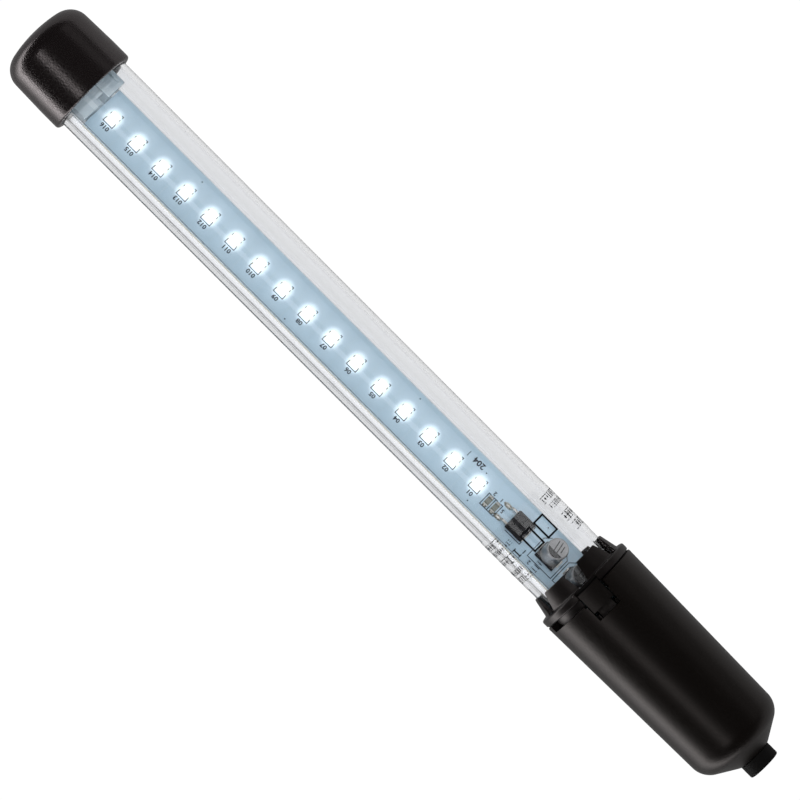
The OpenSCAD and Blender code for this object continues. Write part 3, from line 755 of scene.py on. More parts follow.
def makeWrappedMarks():  # rows of short printed strokes that follow a round surface
    tree, given, result = geometryTree("wrappedMarks", [("Rows", "Int"), ("Row Pitch", "Float"),
                                                        ("Marks", "Int"), ("Mark Pitch", "Float"),
                                                        ("Start", "Vector"), ("Stroke", "Vector"),
                                                        ("Radius", "Float"), ("Axis Height", "Float"),
                                                        ("Kept", "Float"), ("Seed", "Int"),
                                                        ("Finish", "Material")])

    def number(operation, first, second=0.0):
        return put(tree, "ShaderNodeMath", {0: first, 1: second}, operation=operation).outputs[0]

    wide = number("MULTIPLY", number("SUBTRACT", given["Rows"], 1), given["Row Pitch"])
    tall = number("MULTIPLY", number("SUBTRACT", given["Marks"], 1), given["Mark Pitch"])
    grid = put(tree, "GeometryNodeMeshGrid", {"Size X": wide, "Size Y": tall, "Vertices X": given["Rows"],
                                              "Vertices Y": given["Marks"]})
    half = put(tree, "ShaderNodeCombineXYZ", {"X": number("MULTIPLY", wide, 0.5),
                                              "Y": number("MULTIPLY", tall, 0.5)})
    middle = put(tree, "ShaderNodeVectorMath", {0: given["Start"], 1: half.outputs[0]}, operation="ADD")
    moved = put(tree, "GeometryNodeSetPosition", {"Geometry": grid.outputs[0], "Offset": middle.outputs[0]})
    keep = put(tree, "FunctionNodeRandomValue", {"Seed": given["Seed"]}, data_type="FLOAT")
    dropped = put(tree, "FunctionNodeCompare", {0: keep.outputs[1], 1: given["Kept"]}, data_type="FLOAT",
                  operation="GREATER_THAN")
    left = put(tree, "GeometryNodeDeleteGeometry", {"Geometry": moved.outputs[0],
                                                    "Selection": dropped.outputs[0]}, domain="POINT")
    stroke = put(tree, "GeometryNodeMeshCube", {"Size": given["Stroke"], "Vertices X": 2, "Vertices Y": 4,
                                                "Vertices Z": 2})
    length = put(tree, "FunctionNodeRandomValue", {"Seed": number("ADD", given["Seed"], 7)},
                 data_type="FLOAT_VECTOR")
    length.inputs[0].default_value = (0.35, 0.75, 1.0)
    length.inputs[1].default_value = (1.0, 1.0, 1.0)
    copies = put(tree, "GeometryNodeInstanceOnPoints", {"Points": left.outputs[0],
                                                        "Instance": stroke.outputs[0],
                                                        "Scale": length.outputs[0]})
    real = put(tree, "GeometryNodeRealizeInstances", {"Geometry": copies.outputs[0]})
    part = put(tree, "ShaderNodeSeparateXYZ", {0: put(tree, "GeometryNodeInputPosition").outputs[0]})
    angle = number("DIVIDE", part.outputs["Y"], given["Radius"])
    reach = number("ADD", given["Radius"], part.outputs["Z"])
    bent = put(tree, "ShaderNodeCombineXYZ", {
        "X": part.outputs["X"],
        "Y": number("MULTIPLY", number("MULTIPLY", reach, number("SINE", angle)), -1.0),
        "Z": number("ADD", number("MULTIPLY", reach, number("COSINE", angle)), given["Axis Height"])})
    wrapped = put(tree, "GeometryNodeSetPosition",
                  {"Geometry": real.outputs[0], "Position": bent.outputs[0]})
    closeTree(tree, wrapped.outputs[0], given["Finish"], result)
    return tree


trees = {"pieceRow": makePieceRow(), "wrappedMarks": makeWrappedMarks()}


def grow(name, treeName, values, finish):
    host = bpy.data.objects.new(name, bpy.data.meshes.new(name))
    scene.collection.objects.link(host)
    grower = host.modifiers.new("grow", "NODES")
    grower.node_group = trees[treeName]
    values = dict(values, Finish=finishes[finish])
    for item in trees[treeName].interface.items_tree:
        if item.in_out == "INPUT":
            grower[item.identifier] = values[item.name]
    applyModifiers(host)
    return host


def repeatAlongBoard(name, first, finish):  # the piece at the first LED, repeated for the whole row
    row = grow(name, "pieceRow",
               {"Piece": first, "Count": ledRow["count"], "Pitch": ledRow["pitch"] * mm}, finish)
    bpy.data.objects.remove(first)
    smooth(row)
    return onBoard(row)


def plate(x, y, halfX, halfY, z, cut=0.1):  # a rectangle with cut corners, as one ring of points
    corner = [(halfX - cut, -halfY), (halfX, cut - halfY), (halfX, halfY - cut), (halfX - cut, halfY),
              (cut - halfX, halfY), (-halfX, halfY - cut), (-halfX, cut - halfY), (cut - halfX, -halfY)]
    return [(x + a, y + b, z) for a, b in corner]


def stacked(name, rings):  # rings of points one above the other, closed at both ends
    middle = [tuple(sum(p[i] for p in ring) / len(ring) for i in range(3)) for ring in (rings[0],
                                                                                        rings[-1])]
    return fromRows(name, [[middle[0]]] + rings + [[middle[1]]], loop=False)


def strokes(name, lines, width, z, thick=0.02):  # printed lines, each (x0, y0, x1, y1)
    points, faces = [], []
    for x0, y0, x1, y1 in lines:
        along = Vector((x1 - x0, y1 - y0)).normalized() * width / 2
        side = Vector((-along.y, along.x))
        ends = [(Vector((x0, y0)) - along, Vector((x1, y1)) + along)]
        for start, end in ends:
            ring = [start - side, end - side, end + side, start + side]
            first = len(points)
            points += [(p.x, p.y, level) for level in (z, z + thick) for p in ring]
            faces += [tuple(first + i for i in (0, 1, 2, 3)), tuple(first + i for i in (7, 6, 5, 4))]
            faces += [tuple(first + i for i in (k, (k + 1) % 4, 4 + (k + 1) % 4, 4 + k)) for k in range(4)]
    piece = pieceFrom(name, points, faces)
    faceOut(piece, 0)
    return piece


def numeral(text, x, y, size, z):  # plain digits, read from the board's far edge
    curve = bpy.data.curves.new("numeral", "FONT")
    curve.body = text
    curve.size = size * mm
    curve.align_x = "CENTER"
    curve.align_y = "CENTER"
    curve.extrude = 0.01 * mm
    curve.offset = size * 0.028 * mm
    curve.resolution_u = 2
    writer = bpy.data.objects.new("numeral", curve)
    scene.collection.objects.link(writer)
    bpy.context.view_layer.update()
    mesh = bpy.data.meshes.new_from_object(writer.evaluated_get(bpy.context.evaluated_depsgraph_get()))
    bpy.data.objects.remove(writer)
    mesh.transform(Matrix.Translation(Vector((x, y, z + 0.012)) * mm) @ Matrix.Rotation(math.pi, 4, "Z"))
    piece = bpy.data.objects.new("digits", mesh)
    scene.collection.objects.link(piece)
    return piece


# ---------- end cap ----------

endCap = {"dome": 40, "corner": 6, "shoulder": 13.65, "lip": 0.9, "wall": 2.6, "seat": 12.05,
          "sealBack": 5.6, "sealFront": 4.0, "sealDepth": 0.9, "grip": 17}


def makeEndCap():
    crown, mouth = capLow.x, capHigh.x
    widest = (capHigh.y - capLow.y) / 2
    cornerRadius = endCap["shoulder"] - endCap["corner"]
    reach = endCap["dome"] - endCap["corner"]
    meet = math.degrees(math.asin(cornerRadius / reach))
    cornerX = crown + endCap["dome"] - reach * math.cos(math.radians(meet))
    floorX = tubeLow.x - 0.5
    seat, groove = endCap["seat"], endCap["seat"] + endCap["sealDepth"]
    outline = arc(crown + endCap["dome"], 0, endCap["dome"], 180, 180 - meet, 14)
    outline[0] = (crown, 0)
    outline += arc(cornerX, cornerRadius, endCap["corner"], 180 - meet, 90, 22)[1:]
    side = [(*outline[-1], 0), (crown + endCap["grip"], widest, 0), (mouth, widest, endCap["lip"]),
            (mouth, seat, 0.35), (mouth - endCap["sealFront"], seat, 0),
            (mouth - endCap["sealFront"], groove, 0.1),
            (mouth - endCap["sealBack"], groove, 0.1), (mouth - endCap["sealBack"], seat, 0),
            (floorX, seat, 0.3),
            (floorX, 8.5, 0.5), (crown + endCap["wall"], 7.5, 1.2), (crown + endCap["wall"], 0, 0)]
    outline += filleted(side, steps=6, closed=False)[1:]
    piece = turned("endCap", outline)
    smooth(piece, 50)
    return settle(paint(piece, "cap"), "cap", "cap", "end_cap")


makeEndCap()
print("end cap done")

# ---------- clear tube ----------

clearTube = {"wall": 1.3, "railReach": 7.25, "railThick": 0.8, "railGap": 0.1, "steps": 192}


def tubeInside():  # across the board's frame: two rails on one side, one on the other
    inner = tubeRadius - clearTube["wall"]
    top = board["face"] + clearTube["railGap"] + clearTube["railThick"]
    low = board["face"] - board["thick"] - clearTube["railGap"]
    levels = [top, top - clearTube["railThick"], low, low - clearTube["railThick"]]

    def wallArc(fromZ, toZ, side, steps):
        start, end = math.asin(fromZ / inner), math.asin(toZ / inner)
        turns = [start + (end - start) * i / steps for i in range(steps + 1)]
        return [(side * inner * math.cos(turn), inner * math.sin(turn), 0) for turn in turns]

    def rail(upper, lower, side):
        tip = side * clearTube["railReach"]
        return [(tip, upper, 0.12), (tip, lower, 0.12)]

    right = wallArc(inner, levels[2], 1, 50) + rail(*levels[2:], 1) + wallArc(levels[3], -inner, 1, 30)
    left = wallArc(inner, levels[0], -1, 44) + rail(*levels[:2], -1) + wallArc(levels[1], levels[2], -1, 6)
    left += rail(*levels[2:], -1) + wallArc(levels[3], -inner, -1, 30)
    return filleted(right + left[::-1][1:-1], steps=4)


def makeClearTube():
    outer = [(tubeRadius * math.cos(2 * math.pi * i / clearTube["steps"]),
              tubeRadius * math.sin(2 * math.pi * i / clearTube["steps"])) for i in range(clearTube["steps"])]
    inner = tubeInside()
    loops = [outer, inner]
    fill = tessellate_polygon([[Vector((y, z, 0)) for y, z in loop] for loop in loops])
    points, faces = [], []
    for x in (tubeLow.x, tubeHigh.x):
        faces += [tuple(len(points) + corner for corner in triangle) for triangle in fill]
        points += [(x, y, z) for loop in loops for y, z in loop]
    count, start = len(points) // 2, 0
    for loop in loops:
        for i in range(len(loop)):
            a, b = start + i, start + (i + 1) % len(loop)
            faces.append((a, b, b + count, a + count))
        start += len(loop)
    piece = pieceFrom("clearTube", points, faces)
    faceOut(piece, 0)
    onBoard(piece)
    smooth(piece, 28)
    piece.visible_shadow = False
    return settle(paint(piece, "clearTube"), "head", "clear_tube", "light_tube")


makeClearTube()
print("tube done")

# ---------- printed film ----------

film = {"gap": 0.02, "thick": 0.1, "start": -165, "sweep": 330}
filmTop = tubeRadius + film["gap"] + film["thick"]
inkPrint = {"ink": 0.012, "seed": 5}


def makeLabelFilm():
    band = [(labelLow.x, tubeRadius + film["gap"]), (labelHigh.x, tubeRadius + film["gap"]),
            (labelHigh.x, filmTop), (labelLow.x, filmTop)]
    piece = turnedPart("labelFilm", band, film["start"], film["sweep"], 176)
    smooth(piece)
    piece.visible_shadow = False
    return settle(paint(piece, "labelFilm"), "head", "label_film", "rating_label")


def markBlock(x, fromTurn, toTurn, rows, rowPitch, markPitch, stroke, kept, seed):
    span = math.radians(toTurn - fromTurn) * filmTop
    return grow("marks", "wrappedMarks", {
        "Rows": rows, "Row Pitch": rowPitch * mm, "Marks": int(span / markPitch),
                                          "Mark Pitch": markPitch * mm,
        "Start": Vector((x, math.radians(fromTurn) * filmTop, 0)) * mm, "Radius": (filmTop + 0.002) * mm,
        "Stroke": Vector((*stroke, inkPrint["ink"])) * mm, "Axis Height": axisHeight * mm, "Kept": kept,
        "Seed": seed}, "labelInk")


def plainFrame(x0, x1, fromTurn, toTurn, width):  # an empty printed frame
    turnWidth = math.degrees(width / filmTop)
    low, high = filmTop + 0.001, filmTop + inkPrint["ink"]

    def strip(xa, xb, start, end):
        return turnedPart("strip", [(xa, low), (xb, low), (xb, high), (xa, high)], start, end - start, 12)

    return [strip(x0, x0 + width, fromTurn, toTurn), strip(x1 - width, x1, fromTurn, toTurn),
            strip(x0 + width, x1 - width, fromTurn, fromTurn + turnWidth),
            strip(x0 + width, x1 - width, toTurn - turnWidth, toTurn)]


def markColumn(x, tall, fromTurn, toTurn, pitch, stroke, seed):  # one line of marks built from short bars
    bars = [(x, (tall * 0.95, stroke * 1.3), 0.85), (x - tall * 0.42, (stroke, pitch * 0.8), 0.7),
            (x, (stroke, pitch * 0.75), 0.5), (x + tall * 0.42, (stroke, pitch * 0.8), 0.7)]
    return [markBlock(at, fromTurn, toTurn, 1, 1, pitch, size, kept, seed + index)
            for index, (at, size, kept) in enumerate(bars)]


lines = [  # place along the film, height, from and to in degrees, pitch, stroke
    (3.6, 2.2, -84, -36, 1.25, 0.3), (6.3, 1.7, -84, -38, 1.0, 0.26), (11.0, 2.9, -84, -36, 1.7, 0.42),
    (14.6, 2.6, -84, -40, 1.6, 0.4), (2.6, 2.0, 44, 112, 1.5, 0.34), (5.0, 1.4, 30, 108, 0.95, 0.26),
    (8.6, 2.7, 26, 112, 1.9, 0.36), (12.4, 1.5, 48, 106, 1.0, 0.26), (15.0, 2.0, 22, 92, 1.35, 0.28),
    (4.0, 1.6, 150, 192, 1.1, 0.26), (8.0, 1.6, 150, 192, 1.1, 0.26), (12.0, 1.6, 150, 192, 1.1, 0.26),
]


def makeLabelPrint():
    left = labelLow.x
    parts = []
    for index, (at, tall, fromTurn, toTurn, pitch, stroke) in enumerate(lines):
        parts += markColumn(left + at, tall, fromTurn, toTurn, pitch, stroke, inkPrint["seed"] + 7 * index)
    parts += plainFrame(left + 5.7, left + 11.9, -28, -9, 0.55)
    parts += plainFrame(left + 5.7, left + 11.9, -3, 16, 0.55)
    piece = joined("labelPrint", parts)
    piece.visible_shadow = False
    return settle(paint(piece, "labelInk"), "head", "label_film")


makeLabelFilm()
makeLabelPrint()
print("printed film done")

# ---------- board holder ----------

holder = {"radius": 10.6, "core": 4, "coreDepth": 8, "upperJaw": (1.9, 8.6), "lowerJaw": (-7.4, -1.2),
          "middle": (-1.3, 2.0), "ledge": 5, "edge": 0.3, "clearance": 7.15}


def makeBoardHolder():
    back = board["face"] - board["thick"]
    start, plugEnd = holderLow.x, capHigh.x - 1.8
    jawEnd = boardLow.x - 0.2
    ring = [(holder["radius"] * math.cos(2 * math.pi * i / 96),
             holder["radius"] * math.sin(2 * math.pi * i / 96))
            for i in range(96)]
    piece = prism("boardHolder", ring, start, plugEnd, "X")
    carve(piece, [
        blocks("jaw", [((plugEnd - 1, jawEnd), holder["upperJaw"], (back - 1.2, 1.0))]),
        blocks("jaw", [((plugEnd - 1.1, jawEnd), holder["lowerJaw"], (back - 1.2, 1.0))]),
        blocks("jaw", [((plugEnd - 1.2, jawEnd - 2), holder["middle"], (back - 1.2, 0.2))]),
        blocks("ledge", [((plugEnd - 1.3, jawEnd + 7), (-holder["ledge"], holder["ledge"]),
                          (back - 1.25, back - 0.05))])], "UNION")
    inside = holder["clearance"]
    slot = (back - clearTube["railThick"] - 0.2, board["face"] + clearTube["railThick"] + 0.2)
    core = [(holder["core"] * math.cos(2 * math.pi * i / 48),
             holder["core"] * math.sin(2 * math.pi * i / 48))
            for i in range(48)]
    carve(piece, [
        blocks("slots", [((start - 1, jawEnd + 8), (inside, 13), slot),
                         ((start - 1, jawEnd + 8), (-13, -inside), slot)]),
        prism("core", core, start - 1, start + holder["coreDepth"], "X"),
        blocks("pocket", [((plugEnd - 0.6, jawEnd - 1.2), (3.2, 7.4), (-0.6, 2.0))])])
    roundEdges(piece, holder["edge"], angle=45)
    onBoard(piece)
    piece.visible_shadow = False
    return settle(paint(piece, "holder"), "head", "clear_holder", "board_holder")


makeBoardHolder()
print("board holder done")

# ---------- LED board and its printing ----------


def makeMaskMaterial():  # pale blue mask over copper pours, with the LEDs' light spill painted on it as glow
    material, tree, shader, place = startMaterial("solderMask", {"Specular IOR Level": 0.35,
                                                                 "Emission Strength": 1.0})
    flat = put(tree, "ShaderNodeMapping",
               {"Vector": place, "Rotation": (math.radians(board["turn"]), 0.0, 0.0)})
    middle = boardPlace.inverted() @ Vector((0, 0, 0))
    flat.inputs["Location"].default_value = middle
    part = put(tree, "ShaderNodeSeparateXYZ", {0: flat.outputs[0]})
    pitch, first = ledRow["pitch"] * mm, ledRow["first"] * mm
    offset = sums(tree, "SUBTRACT",
                  sums(tree, "WRAP", sums(tree, "ADD", part.outputs["X"], pitch / 2 - first),
                                         pitch, 0.0), pitch / 2)
    across = sums(tree, "MULTIPLY", part.outputs["Y"], 0.82)
    away = sums(tree, "SQRT", sums(tree, "ADD", sums(tree, "MULTIPLY", offset, offset),
                                   sums(tree, "MULTIPLY", across, across)))
    near = put(tree, "ShaderNodeMapRange",
               {"Value": away, "From Min": 0.0012, "From Max": 0.0036, "To Min": 0.75,
                                            "To Max": 0.0}, interpolation_type="SMOOTHSTEP")
    wide = put(tree, "ShaderNodeMapRange", {"Value": away, "From Min": 0.001, "From Max": 0.0065,
                                            "To Min": 0.1, "To Max": 0.0}, interpolation_type="SMOOTHSTEP")
    last = first + pitch * (ledRow["count"] - 0.5)
    inRow = sums(tree, "MULTIPLY", sums(tree, "GREATER_THAN", part.outputs["X"], first - pitch / 2),
                 sums(tree, "LESS_THAN", part.outputs["X"], last))
    face = sums(tree, "GREATER_THAN", part.outputs["Z"], (board["face"] - 0.1) * mm)
    # painted light: each LED's spill is painted on the board's top face as glow that fades with distance
    paintedSpill = sums(tree, "MULTIPLY", sums(tree, "MULTIPLY", inRow, face),
                 sums(tree, "ADD", near.outputs[0], wide.outputs[0]))
    glow = put(tree, "ShaderNodeCombineColor", {0: sums(tree, "MULTIPLY", paintedSpill, 0.95), 1: paintedSpill, 2: paintedSpill})
    tree.links.new(glow.outputs[0], shader.inputs["Emission Color"])
    gapEvery = sums(tree, "ABSOLUTE", sums(tree, "SUBTRACT", sums(tree, "ABSOLUTE", offset), pitch / 2))
    gapLine = sums(tree, "LESS_THAN", gapEvery, 0.00012)
    margin = sums(tree, "GREATER_THAN", sums(tree, "ABSOLUTE", part.outputs["Y"]), 0.0072)
    bare = sums(tree, "MAXIMUM", gapLine, margin)
    colour = useGroup(tree, "toneDrift", {"Vector": place, "Scale": 55.0, "Amount": 0.1,
                                          "Colour": rgb(0.43, 0.58, 0.69)})["Colour"]
    pours = blendColour(tree, sums(tree, "MULTIPLY", bare, 0.5), colour, rgb(0.49, 0.62, 0.69))
    core = sums(tree, "GREATER_THAN", sums(tree, "ABSOLUTE", part.outputs["Y"]),
                (board["half"] - 0.02) * mm)
    # painted shade: past the tube's end, under the collar and handle, the board is painted near black
    shadedTail = sums(tree, "GREATER_THAN", part.outputs["X"], tubeHigh.x * mm)
    edged = blendColour(tree, core, pours, rgb(0.62, 0.6, 0.42))
    tree.links.new(blendColour(tree, shadedTail, edged, rgb(0.02, 0.03, 0.035)), shader.inputs["Base Color"])
    orange = put(tree, "ShaderNodeTexNoise", {"Vector": place, "Scale": 1800.0, "Detail": 4.0})
    tree.links.new(sums(tree, "MULTIPLY_ADD", orange.outputs[0], 0.15, 0.3), shader.inputs["Roughness"])
    step = sums(tree, "MULTIPLY_ADD", bare, -0.5, sums(tree, "MULTIPLY", orange.outputs[0], 0.35))
    bump(tree, shader, step, 0.03)
    return material


finishes["mask"] = makeMaskMaterial()


def makeLedBoard():
    piece = blocks("ledBoard", [((boardLow.x, boardHigh.x), (-board["half"], board["half"]),
                                 (board["face"] - board["thick"], board["face"]))])
    roundEdges(piece, 0.08)
    onBoard(piece)
    return settle(paint(piece, "mask"), "head", "solder_mask", "led_board")


silk = {"code": "204", "codeY": 4.85, "codeSize": 2.6, "line": 0.24, "bracketHalf": 1.72,
        "bracketLow": -2.3, "bracketHigh": -0.95, "digits": 1.95,
        "digitsY": -3.45, "dot": 0.22}


def makeLedMarks():  # the open bracket and corner tick at each LED
    x, half = ledRow["first"], silk["bracketHalf"]
    low, high = silk["bracketLow"], silk["bracketHigh"]
    bracket = strokes("bracket", [(x - half, high, x - half, low), (x - half, low, x + half, low),
                                  (x + half, low, x + half, high), (x + half - 0.5, 2.5, x + half, 2.5),
                                  (x + half, 2.5, x + half, 2.0)], silk["line"], board["face"])
    row = repeatAlongBoard("ledMarks", bracket, "silk")
    return settle(row, "head", "solder_mask")


def makeLedNumbers():
    parts = []
    for index in range(ledRow["count"]):
        x = ledRow["first"] + ledRow["pitch"] * index
        parts.append(numeral("0" + str(ledRow["count"] - index), x, silk["digitsY"], silk["digits"],
                             board["face"]))
    piece = onBoard(joined("ledNumbers", parts))
    return settle(paint(piece, "silk"), "head", "solder_mask")


resistorLow, resistorHigh = corners("chip_resistors")
driverLow, driverHigh = corners("driver_body")
canLow, canHigh = corners("capacitor_cans")
driver = {"tabBack": 1.9, "tabReach": 0.3, "tabHalf": 2.65, "tabLow": 0.02, "tabHigh": 0.5,
          "size": (6.2, 6.6, 2.3), "y": -0.4, "leadSpread": 2.3, "leadWidth": 0.76, "leadThick": 0.5,
          "leadReach": 3.8, "x": (driverLow.x + driverHigh.x) / 2}
resistor = {"size": (1.6, 2.2, 0.6), "end": 0.5, "y": -1.45}
resistor["xs"] = [resistorLow.x + resistor["size"][0] / 2, resistorHigh.x - resistor["size"][0] / 2]
can = {"radius": 3.15, "foot": 1.0, "height": 6.7, "y": 0.2, "base": 3.3, "cut": 1.3}
can["xs"] = [canLow.x + can["radius"], canHigh.x - can["radius"]]


def makeBoardMarks():
    lines = []
    spacing = resistor["xs"][1] - resistor["xs"][0]
    low, high = resistor["y"] - 2.15, resistor["y"] + 2.05
    for x in resistor["xs"]:
        left, right = x - spacing / 2, x + spacing / 2
        lines += [(left, low, right, low), (left, low, left, high), (right, low, right, high),
                  (left, high, left + 0.6, high), (right - 0.6, high, right, high)]
    halfX, halfY = driver["size"][0] / 2 + 0.25, driver["size"][1] / 2 + 0.25
    for side in (-1, 1):
        y = driver["y"] + side * halfY
        lines += [(driver["x"] - halfX + 1.2, y, driver["x"] + halfX, y)]
    lines += [(driver["x"] + halfX, driver["y"] - halfY, driver["x"] + halfX, driver["y"] + halfY)]
    reach = 4.5
    for x in can["xs"]:
        low, high, cut = -4.6, 4.4, 1.7
        lines += [(x - reach, low, x + reach, low), (x - reach, low, x - reach, high - cut),
                  (x + reach, low, x + reach, high - cut), (x - reach, high - cut, x - reach + cut, high),
                  (x + reach, high - cut, x + reach - cut, high)]
    thick = [(can["xs"][1] - 3.4, -0.8, can["xs"][1] - 3.4, 2.0)]
    z = board["face"]
    parts = [strokes("lines", lines, silk["line"], z), strokes("bars", thick, 0.34, z)]
    marks = [("2", resistor["xs"][0], 1.7), ("1", resistor["xs"][1], 1.7), ("5", driver["x"] - 6.3, -0.5),
             ("2", can["xs"][0] - 2.9, -5.7), ("1", can["xs"][1] - 2.9, -5.7)]
    parts += [numeral(text, x, y, 1.7, z) for text, x, y in marks]
    number = ledRow["first"] + ledRow["pitch"] * (ledRow["count"] - 1) - 3.7
    parts += [numeral(silk["code"], number, silk["codeY"], silk["codeSize"], z),
              strokes("tick", [(number - 4.0, 4.0, number - 4.0, 5.6)], 0.2, z)]
    viaSpots = [(-81.0, 5.6), (-38.0, -5.9), (4.0, 5.9), (31.5, 4.2), (33.0, -5.6), (54.3, 5.8)]
    for x, y in viaSpots:
        parts.append(spun("via", x, y, [(0, z - 0.01), (silk["dot"], z - 0.01), (silk["dot"], z + 0.02),
                                        (0, z + 0.02)], 20))
    piece = onBoard(joined("boardMarks", parts))
    return settle(paint(piece, "silk"), "head", "solder_mask")


makeLedBoard()
makeLedMarks()
makeLedNumbers()
makeBoardMarks()
print("board and printing done")

# ---------- LEDs ----------


def makeGlowMaterial():  # lit phosphor, its tint varying in fine specks
    material, tree, shader, place = startMaterial("ledGlow", {"Roughness": 0.4, "Emission Strength": 3.0})
    specks = put(tree, "ShaderNodeTexNoise", {"Vector": place, "Scale": 3500.0, "Detail": 3.0})
    colour = blendColour(tree, specks.outputs[0], rgb(1.0, 0.98, 0.93), rgb(0.97, 1.0, 1.0))
    tree.links.new(colour, shader.inputs["Emission Color"])
    tree.links.new(blendColour(tree, specks.outputs[0], rgb(0.85, 0.8, 0.5), rgb(0.95, 0.9, 0.6)),
                   shader.inputs["Base Color"])
    bump(tree, shader, specks.outputs[0], 0.02)
    return material


def makeCaseMaterial():  # white reflector case, lit through by the chip
    material, tree, shader, place = startMaterial("ledCase", {"Roughness": 0.35, "Emission Strength": 1.1})
    body = useGroup(tree, "toneDrift", {"Vector": place, "Scale": 600.0, "Amount": 0.08,
                                        "Colour": rgb(0.9, 0.9, 0.86)})["Colour"]
    tree.links.new(body, shader.inputs["Base Color"])
    tree.links.new(blendColour(tree, 0.3, body, rgb(0.9, 0.97, 1.0)), shader.inputs["Emission Color"])
    grain = useGroup(tree, "mouldedGrain", {"Vector": place, "Scale": 4000.0})["Height"]
    bump(tree, shader, grain, 0.01)
    return material


finishes["ledGlow"] = makeGlowMaterial()
finishes["ledCase"] = makeCaseMaterial()


def makeLeds():
    x, z = ledRow["first"], board["face"]
    halfX, halfY, high = ledRow["size"][0] / 2, ledRow["size"][1] / 2, ledRow["size"][2]
    windowX, windowY = ledRow["window"][0] / 2, ledRow["window"][1] / 2
    case = stacked("case", [plate(x, 0, halfX - 0.06, halfY - 0.06, z), plate(x, 0, halfX, halfY, z + 0.25),
                            plate(x, 0, halfX, halfY, z + 0.35),
                            plate(x, 0, halfX - 0.07, halfY - 0.07, z + high),
                            plate(x, 0, windowX + 0.08, windowY + 0.08, z + high, 0.25),
                            plate(x, 0, windowX - 0.12, windowY - 0.12, z + high - 0.42, 0.25)])
    face = stacked("face", [plate(x, 0, windowX - 0.12, windowY - 0.12, z + high - 0.41, 0.25),
                            plate(x, 0, windowX + 0.03, windowY + 0.03, z + high - 0.1, 0.25),
                            plate(x, 0, windowX - 0.25, windowY - 0.25, z + high - 0.05, 0.3),
                            plate(x, 0, windowX - 0.7, windowY - 0.7, z + high - 0.03, 0.2)])
    settle(repeatAlongBoard("ledCases", case, "ledCase"), "head", "led_case", "led_packages")
    settle(repeatAlongBoard("ledFaces", face, "ledGlow"), "head", "led_glow", "led_emitters")
    pads = joined("pads", [mound("pad", x + side * (halfX + 0.12), y, z, 0.28, 0.45, 0.16)
                           for side in (-1, 1) for y in (-1.0, 1.0)])
    settle(repeatAlongBoard("ledSolder", pads, "solder"), "head", "tinned")


makeLeds()
print("LEDs done")

# ---------- resistors, driver and capacitors ----------


def makeResistors():
    sizeX, sizeY, high = resistor["size"]
    z, bodies, ends, joints = board["face"], [], [], []
    for x in resistor["xs"]:
        bodies.append(blocks("chip", [((x - sizeX / 2, x + sizeX / 2),
                                       (resistor["y"] - sizeY / 2, resistor["y"] + sizeY / 2),
                                       (z + 0.05, z + high))]))
        for side in (-1, 1):
            inner, outer = sizeY / 2, sizeY / 2 + resistor["end"]
            span = sorted((resistor["y"] + side * inner, resistor["y"] + side * outer))
            ends.append(blocks("end",
                               [((x - sizeX / 2, x + sizeX / 2), span, (z + 0.02, z + high - 0.01))]))
            joints.append(mound("joint", x, resistor["y"] + side * (outer + 0.12), z, sizeX * 0.48, 0.42,
                                0.36))
    chips = joined("chipResistors", bodies)
    roundEdges(chips, 0.06)
    settle(paint(onBoard(chips), "resistor"), "head", "resistor_black", "chip_resistors")
    caps = joined("resistorEnds", ends)
    roundEdges(caps, 0.08)
    solder = joined("resistorSolder", joints)
    smooth(solder, 60)
    settle(paint(onBoard(caps), "tinned"), "head", "tinned", "resistor_ends")
    settle(paint(onBoard(solder), "solder"), "head", "tinned")


def makeDriver():
    sizeX, sizeY, high = driver["size"]
    x, y, z = driver["x"], driver["y"], board["face"]
    body = stacked("driverBody", [plate(x, y, sizeX / 2 - 0.14, sizeY / 2 - 0.14, z + 0.52, 0.12),
                                  plate(x, y, sizeX / 2, sizeY / 2, z + 1.15, 0.15),
                                  plate(x, y, sizeX / 2 - 0.2, sizeY / 2 - 0.2, z + high, 0.15)])
    carve(body, [spun("dimple", x - 1.9, y - 2.1, [(0, z + high - 0.12), (0.45, z + high - 0.12),
                                                    (0.45, z + high + 1), (0, z + high + 1)], 32),
                 blocks("notch",
                        [((x + sizeX / 2 - 0.35, x + sizeX), (y - 1.1, y + 1.1), (z + 1.2, z + 3))])])
    roundEdges(body, 0.1)
    settle(paint(onBoard(body), "epoxy"), "head", "epoxy", "driver_body")
    edge, thick = x - sizeX / 2, driver["leadThick"]
    bend = filleted([(edge + 0.25, z + 0.9, 0), (edge + 0.25, z + 1.4, 0), (edge - 1.9, z + 1.4, 0.45),
                     (edge - 2.2, z + thick, 0.2), (edge - driver["leadReach"], z + thick, 0.1),
                     (edge - driver["leadReach"], z + 0.03, 0.1), (edge - 1.7, z + 0.03, 0.3),
                     (edge - 1.45, z + 0.9, 0.2)])
    parts, joints = [], []
    for side in (-1, 1):
        middle = y + side * driver["leadSpread"]
        parts.append(prism("lead", bend, middle - driver["leadWidth"] / 2,
                           middle + driver["leadWidth"] / 2, "Y"))
        joints.append(mound("joint", edge - 3.1, middle, z, 1.45, 0.85, 0.62, 0.2))
    tabLong = (x - driver["tabBack"], x + sizeX / 2 + driver["tabReach"])
    tabWide = (y - driver["tabHalf"], y + driver["tabHalf"])
    parts.append(blocks("tab", [(tabLong, tabWide, (z + driver["tabLow"], z + driver["tabHigh"]))]))
    leads = joined("driverLeads", parts)
    roundEdges(leads, 0.07)
    solder = joined("driverSolder", joints)
    smooth(solder, 60)
    settle(paint(onBoard(leads), "tinned"), "head", "tinned_leads", "driver_leads")
    settle(paint(onBoard(solder), "solder"), "head", "tinned_leads")


